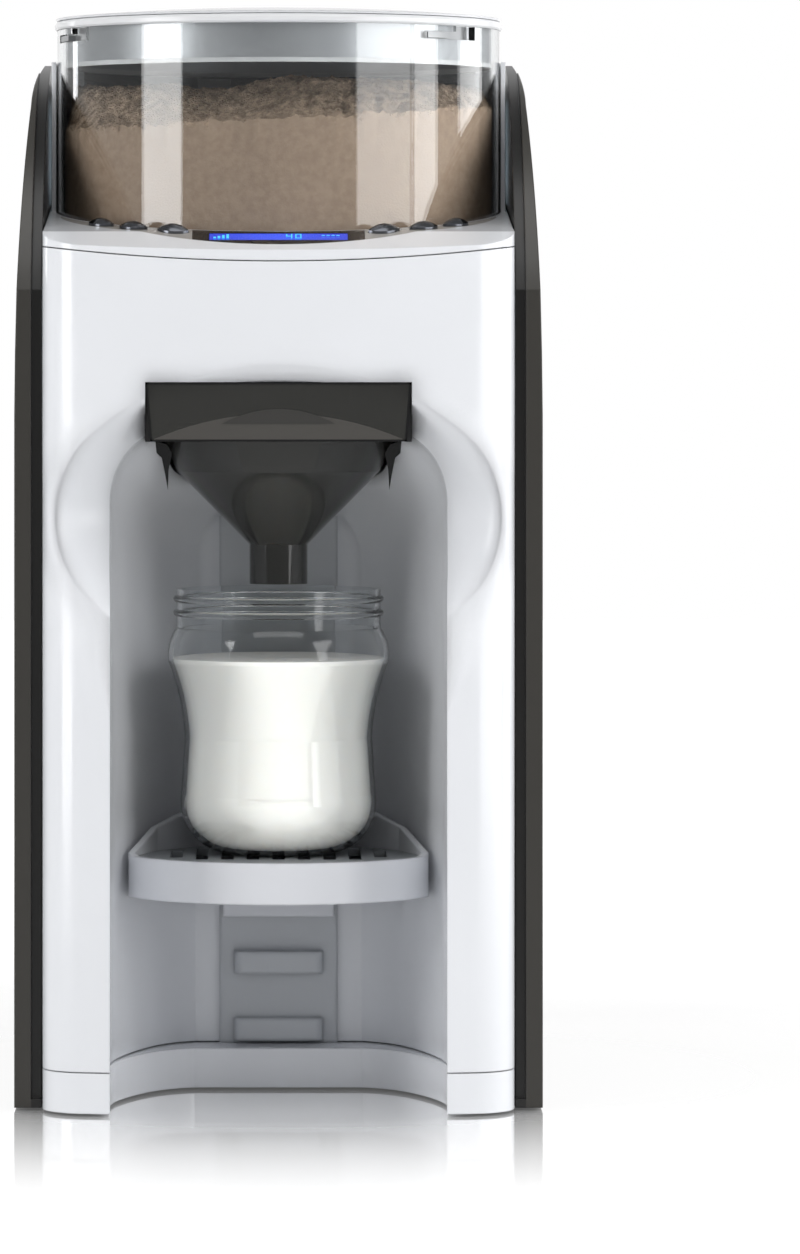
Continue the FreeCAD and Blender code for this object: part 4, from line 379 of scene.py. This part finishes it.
# Painted shade: the side panels' inner part, next to the white shell, is painted nearly black.
CHARCOAL_SHADED_ABS = finish("charcoal_panel_abs_with_painted_shade", moulded("3b3935", 0.3, peel=0.03, edge=0.8,
                                                   inner=(PANEL_SHADE_HALF, "1b1a19")))
TRIM_GLOSS = finish("grey_brown_trim_gloss", moulded("a09d99", 0.25, specular=0.25,
                                                    inner=(WINDOW_HALF, "0b0b0d")))
FUNNEL_BAND = finish("smoke_band_polypropylene", moulded("4b4946", 0.3, peel=0.01))
FUNNEL_LINE = finish("black_funnel_edge", moulded("0e0e0f", 0.25, peel=0.01))
BUTTON_CHROME = finish("dark_chromed_button", metal("63656a", 0.2))
SCREEN_BLUE = finish("blue_backlit_screen", lit_screen)
FUNNEL_DOME = finish("smoke_dome_polypropylene", moulded("3a3937", 0.3, peel=0.01))
FUNNEL_INSERT = finish("dark_funnel_insert", moulded("232323", 0.35, peel=0.01))
SCREEN_CYAN = finish("lit_cyan_marks", lit_marks)
HOPPER_CLEAR = finish("clear_copolyester_hopper", clear("f4f6f7", ior=1.5))
FUNNEL_SMOKE = finish("smoke_polypropylene_funnel", clear("484845", rough=0.12, weight=0.5))
TANK_CLEAR = finish("blue_grey_clear_tank", clear("c3d0d8", rough=0.04))
BOTTLE_CLEAR = finish("clear_bottle_plastic", clear("f5f7f8", ior=1.4))
POWDER_CREAM = finish("cream_milk_powder", loose_powder)
MILK_WHITE = finish("mixed_white_milk", mixed_milk)
GRATE_GREY = finish("dark_grained_grate", grained("84888b", 0.4))
# Painted shade: the rail is the shell's white plastic, coloured light grey for the shade at the back of the
# bottle bay.
RAIL_SHADED_GREY = finish("satin_rail_painted_shade_grey", moulded("c6c9cd", 0.32, edge=2.4))
INNER_GREY = finish("bare_moulded_inner", grained("97999b", 0.5))
BLACK_PLASTIC = finish("black_grained_plastic", grained("1c1c1d", 0.4))
LEVELLER_GREY = finish("grey_leveller_plastic", grained("8d8f90", 0.4))
FOOD_WHITE = finish("food_white_plastic", grained("dcdddc", 0.4))
CAST_METAL = finish("die_cast_motor_metal", metal("b4b5b7", 0.4))
STEEL = finish("plain_drawn_steel", metal("bdbdbf", 0.28))
BRASS = finish("turned_brass", metal("c9a35a", 0.3))
SILICONE = finish("milky_silicone", rubbery("a5a6a6", 0.45))
RUBBER = finish("black_foot_rubber", rubbery("1f1f1f", 0.7))
BOARD_GREEN = finish("green_solder_resist", grained("11522c", 0.3, depth=0.05))

NODE_FINISH = {
    WHITE_ABS: ("base_plinth", "rear_shell", "upper_housing", "tank_lid"),
    FRONT_ABS: ("front_shell",),
    LID_ABS: ("lid_cap",),
    COLLAR_ABS: ("lid_collar",),
    STAND_ABS: ("bottle_stand",),
    CHARCOAL_SHADED_ABS: ("side_panel_left", "side_panel_right"),
    TRIM_GLOSS: ("control_panel",),
    BUTTON_CHROME: ("button_powder", "button_volume", "button_temperature", "button_info",
                    "button_clean", "button_start"),
    SCREEN_BLUE: ("display_screen",),
    HOPPER_CLEAR: ("powder_container",),
    FUNNEL_SMOKE: ("funnel",),
    TANK_CLEAR: ("water_tank",),
    BOTTLE_CLEAR: ("bottle",),
    MILK_WHITE: ("milk",),
    GRATE_GREY: ("drip_grate",),
    RAIL_SHADED_GREY: ("stand_rail",),
    INNER_GREY: ("powder_chute", "water_nozzle", "tank_valve", "tank_valve_socket", "main_chassis",
                 "water_pump"),
    LEVELLER_GREY: ("powder_leveller",),
    BLACK_PLASTIC: ("hopper_back_wall", "funnel_carrier", "power_inlet"),
    FOOD_WHITE: ("dosing_base", "portion_wheel", "stirrer_wheel"),
    CAST_METAL: ("stirrer_gearmotor", "water_heater"),
    STEEL: ("motor_bracket", "tank_lid_pins", "case_screws"),
    BRASS: ("drive_dog",),
    SILICONE: ("lid_seal", "pump_hose", "supply_hose", "hot_hose"),
    RUBBER: ("rubber_feet",),
    BOARD_GREEN: ("control_board", "power_board"),
}


def dress(piece, material):
    """One finish for the whole piece."""
    piece.data.materials.clear()
    piece.data.materials.append(material)


for material, names in NODE_FINISH.items():
    for name in names:
        dress(nodes[name], material)

# The lamps' light goes straight through the clear walls to the milk and the powder.
for name in ("bottle", "powder_container"):
    nodes[name].visible_shadow = False


# ---------------------------------------------------------------- modelling

def trace(name, points, close=False):
    """Draw a chain of edges point by point; a closed chain becomes a face. It stays in edit mode."""
    bpy.ops.object.select_all(action="DESELECT")
    bpy.ops.mesh.primitive_plane_add(size=MM, location=[value * MM for value in points[0]])
    piece = bpy.context.object
    piece.name = name
    bpy.ops.object.mode_set(mode="EDIT")
    bpy.ops.mesh.select_all(action="SELECT")
    bpy.ops.mesh.merge(type="CENTER")
    for here, there in zip(points, points[1:]):
        step = [(b - a) * MM for a, b in zip(here, there)]
        bpy.ops.mesh.extrude_region_move(TRANSFORM_OT_translate={"value": step})
    if close:
        bpy.ops.mesh.select_all(action="SELECT")
        bpy.ops.mesh.edge_face_add()
    return piece


def turned(name, half, centre_y):
    """A ring or cup spun about an upright axis from half of its closed section."""
    piece = trace(name, [(x, centre_y, z) for x, z in half + half[:1]])
    bpy.ops.mesh.select_all(action="SELECT")
    bpy.ops.mesh.remove_doubles(threshold=MERGE)
    bpy.ops.mesh.select_all(action="SELECT")
    bpy.ops.mesh.spin(steps=TURN_STEPS, angle=math.tau, center=(0.0, centre_y * MM, 0.0),
                      axis=(0.0, 0.0, 1.0))
    bpy.ops.object.mode_set(mode="OBJECT")
    return piece


def plate(name, outline, shift):
    """A thin plate from its outline, made thick by a shift in x, y and z."""
    piece = trace(name, outline, close=True)
    bpy.ops.mesh.extrude_region_move(TRANSFORM_OT_translate={"value": [value * MM for value in shift]})
    bpy.ops.object.mode_set(mode="OBJECT")
    return piece


def join(name, parts):
    """Several modelled parts made into one piece."""
    bpy.ops.object.select_all(action="DESELECT")
    for part in parts:
        part.select_set(True)
    bpy.context.view_layer.objects.active = parts[0]
    bpy.ops.object.join()
    parts[0].name = name
    return parts[0]


def settle(piece, body, material, angle=35.0):
    """Leave the finished piece at the origin, smooth its shallow edges, dress it and let it ride."""
    bpy.ops.object.select_all(action="DESELECT")
    bpy.context.view_layer.objects.active = piece
    piece.select_set(True)
    bpy.ops.object.transform_apply(location=True, rotation=True, scale=True)
    bpy.ops.object.mode_set(mode="EDIT")
    bpy.ops.mesh.select_all(action="SELECT")
    bpy.ops.mesh.remove_doubles(threshold=MERGE)
    bpy.ops.mesh.normals_make_consistent(inside=False)
    bpy.ops.object.mode_set(mode="OBJECT")
    bpy.ops.object.shade_smooth_by_angle(angle=math.radians(angle))
    dress(piece, material)
    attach(piece, body)


def arc_points(left, top, right, steps):
    """Points on the circle through two level ends and the crown between them."""
    (x0, z0), (_, z1), (x2, _) = left, top, right
    half = (x2 - x0) / 2
    sag = z1 - z0
    ball = (half * half + sag * sag) / (2 * sag)
    middle = (x0 + x2) / 2
    reach = math.asin(half / ball)
    turns = [reach * (2 * step / steps - 1) for step in range(steps + 1)]
    return [(middle + ball * math.sin(turn), z1 - ball + ball * math.cos(turn)) for turn in turns]


def on_deck(x, y, lift):
    """A point over the sloping deck, from its place on the deck."""
    z = lift - max(-y - DECK_BEND, 0.0) * math.tan(DECK_SLOPE)
    return (x, HOPPER_Y + y * math.cos(DECK_TILT) - z * math.sin(DECK_TILT),
            DECK_HEIGHT + y * math.sin(DECK_TILT) + z * math.cos(DECK_TILT))


# ---------------------------------------------------------------- powder in the hopper

def powder_line(x):
    """Height of the powder on the front wall: it climbs from the left to the right, a little ragged."""
    fine = noise.noise(Vector((x / RAGGED_FINE, 0.0, 7.0)))
    wide = noise.noise(Vector((x / RAGGED_WIDE, 4.0, 7.0)))
    return POWDER_LINE + POWDER_CLIMB * x + POWDER_BOW * x * x + RAGGED_HEIGHT * (fine + 0.8 * wide)


def powder_height(x, y):
    """Lumpy heap: it rises from the front wall to a broad crown with a hollow, and clods lie on top."""
    depth = y + math.sqrt(max(POWDER_RADIUS ** 2 - x * x, 0.0))
    inward = 1.0 - min(math.hypot(x, y) / POWDER_RADIUS, 1.0)
    rise = min(depth / CROWN_DEPTH, 1.0)
    rise = rise * rise * (3 - 2 * rise)
    foot = powder_line(x)
    hollow = HOLLOW_DEPTH * math.exp(-((x - HOLLOW_X) ** 2) / HOLLOW_SPREAD)
    crown = POWDER_CROWN + CROWN_SWAY * math.sin(x / CROWN_WAVE + 0.8) - hollow
    clods = noise.fractal(Vector((x / CLOD_SIZE, y / CLOD_SIZE, 0.4)), 0.8, 2.1, 4) * CLOD_HEIGHT
    grit = noise.noise(Vector((x / GRIT_SIZE, y / GRIT_SIZE, 3.1))) * GRIT_HEIGHT
    return foot + (crown - foot) * rise + (clods + grit) * min(inward / WALL_FADE, 1.0)


def heap_of_powder():
    """A ring raised into a wall and drawn inwards ring by ring, then moved point by point into a heap."""
    bpy.ops.object.select_all(action="DESELECT")
    bpy.ops.mesh.primitive_circle_add(vertices=HEAP_POINTS, radius=POWDER_RADIUS * MM, fill_type="NGON",
                                      location=(0.0, HOPPER_Y * MM, POWDER_FLOOR * MM))
    piece = bpy.context.object
    piece.name = "powder_heap"
    bpy.ops.object.mode_set(mode="EDIT")
    bpy.ops.mesh.select_all(action="SELECT")
    for height in POWDER_STEPS:
        bpy.ops.mesh.extrude_region_move(TRANSFORM_OT_translate={"value": (0.0, 0.0, height * MM)})
    for ring in range(HEAP_RINGS):
        bpy.ops.mesh.extrude_region_move()
        outer = HEAP_RINGS - ring + HEAP_CORE
        bpy.ops.transform.resize(value=((outer - 1) / outer, (outer - 1) / outer, 1.0))
    bpy.ops.object.mode_set(mode="OBJECT")
    top = max(point.co.z for point in piece.data.vertices)
    for point in piece.data.vertices:
        if point.co.z > top - 0.1 * MM:
            point.co.z = (powder_height(point.co.x / MM, point.co.y / MM) - POWDER_FLOOR) * MM
    settle(piece, "hopper", POWDER_CREAM, 80.0)
    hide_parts("formula_powder")


heap_of_powder()


# ---------------------------------------------------------------- funnel

def front_plate(name, outline, proud, thickness):
    """A plate on the funnel's front: how far it starts in front of the face, and how thick it is."""
    return plate(name, [(x, PLATE_FACE - proud, z) for x, z in outline], (0.0, thickness, 0.0))


def edge_strip(start, end):
    """A narrow strip between two corners of the funnel's front plate, with its ends squared."""
    (x0, z0), (x1, z1) = start, end
    run = Vector((x1 - x0, z1 - z0)).normalized() * EDGE_HALF
    side = Vector((-run.y, run.x))
    first, last = Vector(start) - run, Vector(end) + run
    return front_plate("funnel_rim", [first - side, last - side, last + side, first + side], 0.12, 0.5)


def funnel_front():
    """The raised hood on the funnel's front plate, with its dome, its dark lines and the corner clips."""
    hood = [(-43.0, HOOD_FOOT), (43.0, HOOD_FOOT)]
    hood += reversed(arc_points((-43.0, 234.3), (0.0, 243.2), (43.0, 234.3), 20))
    settle(front_plate("funnel_hood", hood, 0.05, 0.3), "funnel", FUNNEL_BAND)
    dome = arc_points((-19.6, 239.6), (0.0, 244.7), (19.6, 239.6), 16)
    settle(front_plate("funnel_dome", dome, 0.25, 0.3), "funnel", FUNNEL_DOME)
    edge = [(-44.0, 233.8), (-45.6, 253.5), (45.6, 253.5), (44.0, 233.8), (-44.0, 233.8)]
    strips = [edge_strip(start, end) for start, end in zip(edge, edge[1:])]
    settle(join("funnel_plate_edge", strips), "funnel", FUNNEL_LINE)
    hook = [(38.6, 232.4), (42.6, 233.6), (42.2, 229.4), (40.4, 227.8), (39.2, 222.0), (38.3, 216.6),
            (38.0, 223.6), (36.8, 229.2)]
    clips = [front_plate("funnel_clip", [(side * x, z) for x, z in hook], -3.0, 1.4) for side in (-1, 1)]
    settle(join("funnel_clips", clips), "funnel", FUNNEL_LINE)


def funnel_core():
    """The mixing insert that shows through the smoky bowl: a shallow cup over a narrow tube."""
    section = [(6.6, 196.4), (8.4, 196.4), (10.6, 221.5), (25.4, 224.6), (27.6, 231.4), (26.4, 231.6),
               (24.4, 225.8), (9.4, 222.7), (7.2, 200.0)]
    settle(turned("funnel_insert", section, FUNNEL_Y), "funnel", FUNNEL_INSERT)


funnel_front()
funnel_core()


# ---------------------------------------------------------------- controls

def button_cap(key, side, count):
    """A lens-shaped cap of dark chrome, domed over its button."""
    turn = math.radians(BUTTON_FIRST + count * BUTTON_PITCH)
    rim = LUNE_SHIFT * math.cos(turn) + math.sqrt(LUNE_RADIUS ** 2 - (LUNE_SHIFT * math.sin(turn)) ** 2)
    radius = (rim + LUNE_INNER) / 2
    turn *= side
    upper = arc_points((-BUTTON_HALF, 0.0), (0.0, BUTTON_RISE), (BUTTON_HALF, 0.0), 14)
    loop = upper + [(x, -z) for x, z in reversed(upper[1:-1])]
    bpy.ops.object.select_all(action="DESELECT")
    bpy.ops.mesh.primitive_circle_add(vertices=len(loop), radius=MM, fill_type="NGON")
    piece = bpy.context.object
    piece.name = f"button_cap_{key}"
    bpy.ops.object.mode_set(mode="EDIT")
    bpy.ops.mesh.select_all(action="SELECT")
    for inner, outer in zip(CAP_RINGS[1:], CAP_RINGS):
        bpy.ops.mesh.extrude_region_move()
        bpy.ops.transform.resize(value=(inner / outer, inner / outer, 1.0))
    bpy.ops.object.mode_set(mode="OBJECT")
    for index, point in enumerate(piece.data.vertices):
        ring = CAP_RINGS[index // len(loop)]
        along, across = (value * ring for value in loop[index % len(loop)])
        x = (radius + across) * math.sin(turn) + along * math.cos(turn)
        y = -(radius + across) * math.cos(turn) + along * math.sin(turn)
        place = on_deck(x, y, BUTTON_PROUD + CAP_LIFT + BUTTON_DOME * (1 - ring ** 2))
        point.co = [value * MM for value in place]
    settle(piece, f"key_{key}", BUTTON_CHROME, 60.0)


def stroke(x0, y0, x1, y1):
    """A thin lit bar on the display, from two of its corners on the deck."""
    corners = [on_deck(x, y, MARK_LIFT) for x, y in ((x0, y0), (x1, y0), (x1, y1), (x0, y1))]
    return plate("mark", corners, (0.0, 0.0, MARK_THICK))


def digit(left, segments):
    """A seven-segment digit: a top, b and c right, d foot, e and f left, g middle."""
    right, middle, thick = left + DIGIT_WIDTH, (MARK_FOOT + DIGIT_TOP) / 2, DIGIT_STROKE
    bars = {
        "a": (left, DIGIT_TOP - thick, right, DIGIT_TOP),
        "b": (right - thick, middle, right, DIGIT_TOP),
        "c": (right - thick, MARK_FOOT, right, middle),
        "d": (left, MARK_FOOT, right, MARK_FOOT + thick),
        "e": (left, MARK_FOOT, left + thick, middle),
        "f": (left, middle, left + thick, DIGIT_TOP),
        "g": (left, middle - thick / 2, right, middle + thick / 2),
    }
    return [stroke(*bars[name]) for name in segments]


def rising_bars(left, pitch, width, height, growth):
    """Four upright bars, each taller than the one before."""
    return [stroke(left + pitch * step, MARK_FOOT, left + width + pitch * step,
                   MARK_FOOT + height + growth * step) for step in range(4)]


def dashes(left, foot, pitch, width, height):
    """A row of four short dashes."""
    return [stroke(left + pitch * step, foot, left + width + pitch * step, foot + height)
            for step in range(4)]


for order, key in enumerate(KEYS):
    button_cap(key, -1 if order < 3 else 1, order % 3)

marks = digit(2.6, "bcfg") + digit(5.8, "abcdef")
marks += rising_bars(-22.6, 1.5, 0.9, 1.6, 1.1)
marks += dashes(15.0, -87.4, 1.7, 1.1, 0.5)
settle(join("display_marks", marks), "housing", SCREEN_CYAN)


# ---------------------------------------------------------------- stage, light and camera
# From here on lengths are in metres, angles in degrees and powers in watts.

# The floor: where its mirror starts to fade and is gone, and where its white rises to the full.
MIRROR_NEAR = 0.15
MIRROR_FAR = 0.44
MIRROR_FALL = 1.5
MIRROR_SHARE = 0.8
LIFT_NEAR = 0.35
LIFT_FAR = 1.1
LIFT_LEAST = 0.42

HOPPER_AXIS = HOPPER_Y * MM
MIDDLE = (0.0, HOPPER_AXIS, 0.24)
LAMP_HEIGHT = 0.45
LAMP_DISTANCE = 1.5
AMBIENT = 0.31

# The camera, and its frame in pixels: its size, its focal length, and where the camera's line meets it.
CAMERA_PLACE = (0.0, -2.559, 0.272)
FRAME_WIDE = 800
FRAME_HIGH = 1254
FOCAL_PIXELS = 7000
SIGHT_X = 278.5
SIGHT_Y = 330
SENSOR = 36.0


def studio_floor(tree):
    """A white floor that keeps the object's shadow. The camera also sees a faint mirror of the object in
    it, which fades with the distance; all other light meets a plain pale floor."""
    path = add(tree, "ShaderNodeLightPath")
    place = add(tree, "ShaderNodeTexCoord").outputs["Object"]
    far = add(tree, "ShaderNodeVectorMath", {0: place}, operation="LENGTH")
    near = add(tree, "ShaderNodeMapRange", {
        "Value": far.outputs["Value"], "From Min": MIRROR_NEAR, "From Max": MIRROR_FAR,
        "To Min": 1.0, "To Max": 0.0})
    fade = add(tree, "ShaderNodeMath", {0: near.outputs[0], 1: MIRROR_FALL}, operation="POWER")
    share = add(tree, "ShaderNodeMath", {0: fade.outputs[0], 1: MIRROR_SHARE}, operation="MULTIPLY")
    plain = add(tree, "ShaderNodeBsdfDiffuse", {"Color": colour("e6e6e6")})
    lift = add(tree, "ShaderNodeMapRange", {
        "Value": far.outputs["Value"], "From Min": LIFT_NEAR, "From Max": LIFT_FAR,
        "To Min": LIFT_LEAST, "To Max": 1.0})
    white = add(tree, "ShaderNodeEmission", {"Color": WHITE, "Strength": lift.outputs[0]})
    base = add(tree, "ShaderNodeAddShader", {0: plain.outputs[0], 1: white.outputs[0]})
    mirror = add(tree, "ShaderNodeBsdfGlossy", {"Color": WHITE, "Roughness": 0.05})
    shown = add(tree, "ShaderNodeMixShader", {0: share.outputs[0], 1: base.outputs[0], 2: mirror.outputs[0]})
    return add(tree, "ShaderNodeMixShader", {
        0: path.outputs["Is Camera Ray"], 1: plain.outputs[0], 2: shown.outputs[0]})


def bright_wall(tree):
    """A white wall that shines only towards reflections."""
    path = add(tree, "ShaderNodeLightPath")
    return add(tree, "ShaderNodeEmission", {"Color": WHITE, "Strength": path.outputs["Is Glossy Ray"]})


def stage_plane(name, size, place, tilt, material):
    """A flat piece of the stage."""
    bpy.ops.object.select_all(action="DESELECT")
    bpy.ops.mesh.primitive_plane_add(size=size, location=place, rotation=(math.radians(tilt), 0.0, 0.0))
    plane = bpy.context.object
    plane.name = name
    dress(plane, material)
    return plane


def softbox(name, place, target, size, power):
    """A rectangular soft light that faces a point."""
    light = bpy.data.lights.new(name, "AREA")
    light.shape = "RECTANGLE"
    light.size, light.size_y = size
    light.energy = power
    lamp = bpy.data.objects.new(name, light)
    bpy.context.scene.collection.objects.link(lamp)
    lamp.location = place
    lamp.rotation_euler = (Vector(target) - Vector(place)).to_track_quat("-Z", "Y").to_euler()
    return lamp


def round_about(angle, distance=LAMP_DISTANCE, height=LAMP_HEIGHT):
    """A place at an angle from the front about the hopper, towards the right."""
    turn = math.radians(angle)
    return (distance * math.sin(turn), HOPPER_AXIS - distance * math.cos(turn), height)


def light_only(name, lamp):
    """Keep a lamp's light to one node."""
    lit = bpy.data.collections.new(lamp.name)
    lit.objects.link(nodes[name])
    lamp.light_linking.receiver_collection = lit


floor = stage_plane("floor", 8.0, (0.0, 0.0, 0.0), 0.0, finish("white_studio_floor", studio_floor))
wall = stage_plane("back_wall", 2.4, (0.0, 1.6, 1.0), 90.0, finish("white_back_wall", bright_wall))
wall.visible_camera = False
wall.visible_diffuse = False
wall.visible_shadow = False

world = bpy.data.worlds.new("studio")
bpy.context.scene.world = world
world.use_nodes = True
sky = world.node_tree
sky.nodes.clear()
path = add(sky, "ShaderNodeLightPath")
ambient = add(sky, "ShaderNodeBackground", {"Color": WHITE, "Strength": AMBIENT})
backdrop = add(sky, "ShaderNodeBackground", {"Color": WHITE, "Strength": 1.0})
choice = add(sky, "ShaderNodeMixShader", {
    0: path.outputs["Is Camera Ray"], 1: ambient.outputs[0], 2: backdrop.outputs[0]})
add(sky, "ShaderNodeOutputWorld", {"Surface": choice.outputs[0]})

softbox("right_wide", round_about(56.0), MIDDLE, (0.85, 1.3), 10.6)
softbox("right_bright", round_about(81.0), MIDDLE, (0.42, 1.3), 7.6)
softbox("right_back", round_about(118.0), MIDDLE, (0.6, 1.3), 7.0)
softbox("left_wide", round_about(-62.0), MIDDLE, (0.62, 1.3), 13.2)
softbox("left_strip", round_about(-130.0, 1.3, 0.4), MIDDLE, (0.07, 1.0), 1.3)
softbox("overhead", (0.0, -0.7, 1.7), (0.0, -0.1, 0.2), (1.3, 1.0), 7.2)
light_only("milk", softbox("bottle_kicker", (0.0, -1.2, 0.35), (0.0, -0.074, 0.13), (2.2, 1.0), 20.0))
light_only("powder_container", softbox("hopper_shine", round_about(81.0), MIDDLE, (0.42, 1.3), 28.0))
light_only("powder_container", softbox("hopper_fill", round_about(56.0), MIDDLE, (0.85, 1.3), 20.0))

lens = bpy.data.cameras.new("camera")
camera = bpy.data.objects.new("camera", lens)
bpy.context.scene.collection.objects.link(camera)
camera.location = CAMERA_PLACE
camera.rotation_euler = (math.pi / 2, 0.0, 0.0)
lens.sensor_fit = "AUTO"
lens.sensor_width = SENSOR
lens.lens = SENSOR * FOCAL_PIXELS / FRAME_HIGH
lens.shift_x = (FRAME_WIDE / 2 - SIGHT_X) / FRAME_HIGH
lens.shift_y = (SIGHT_Y - FRAME_HIGH / 2) / FRAME_HIGH
lens.clip_end = 50.0
bpy.context.scene.camera = camera
bpy.context.scene.view_settings.view_transform = "Standard"
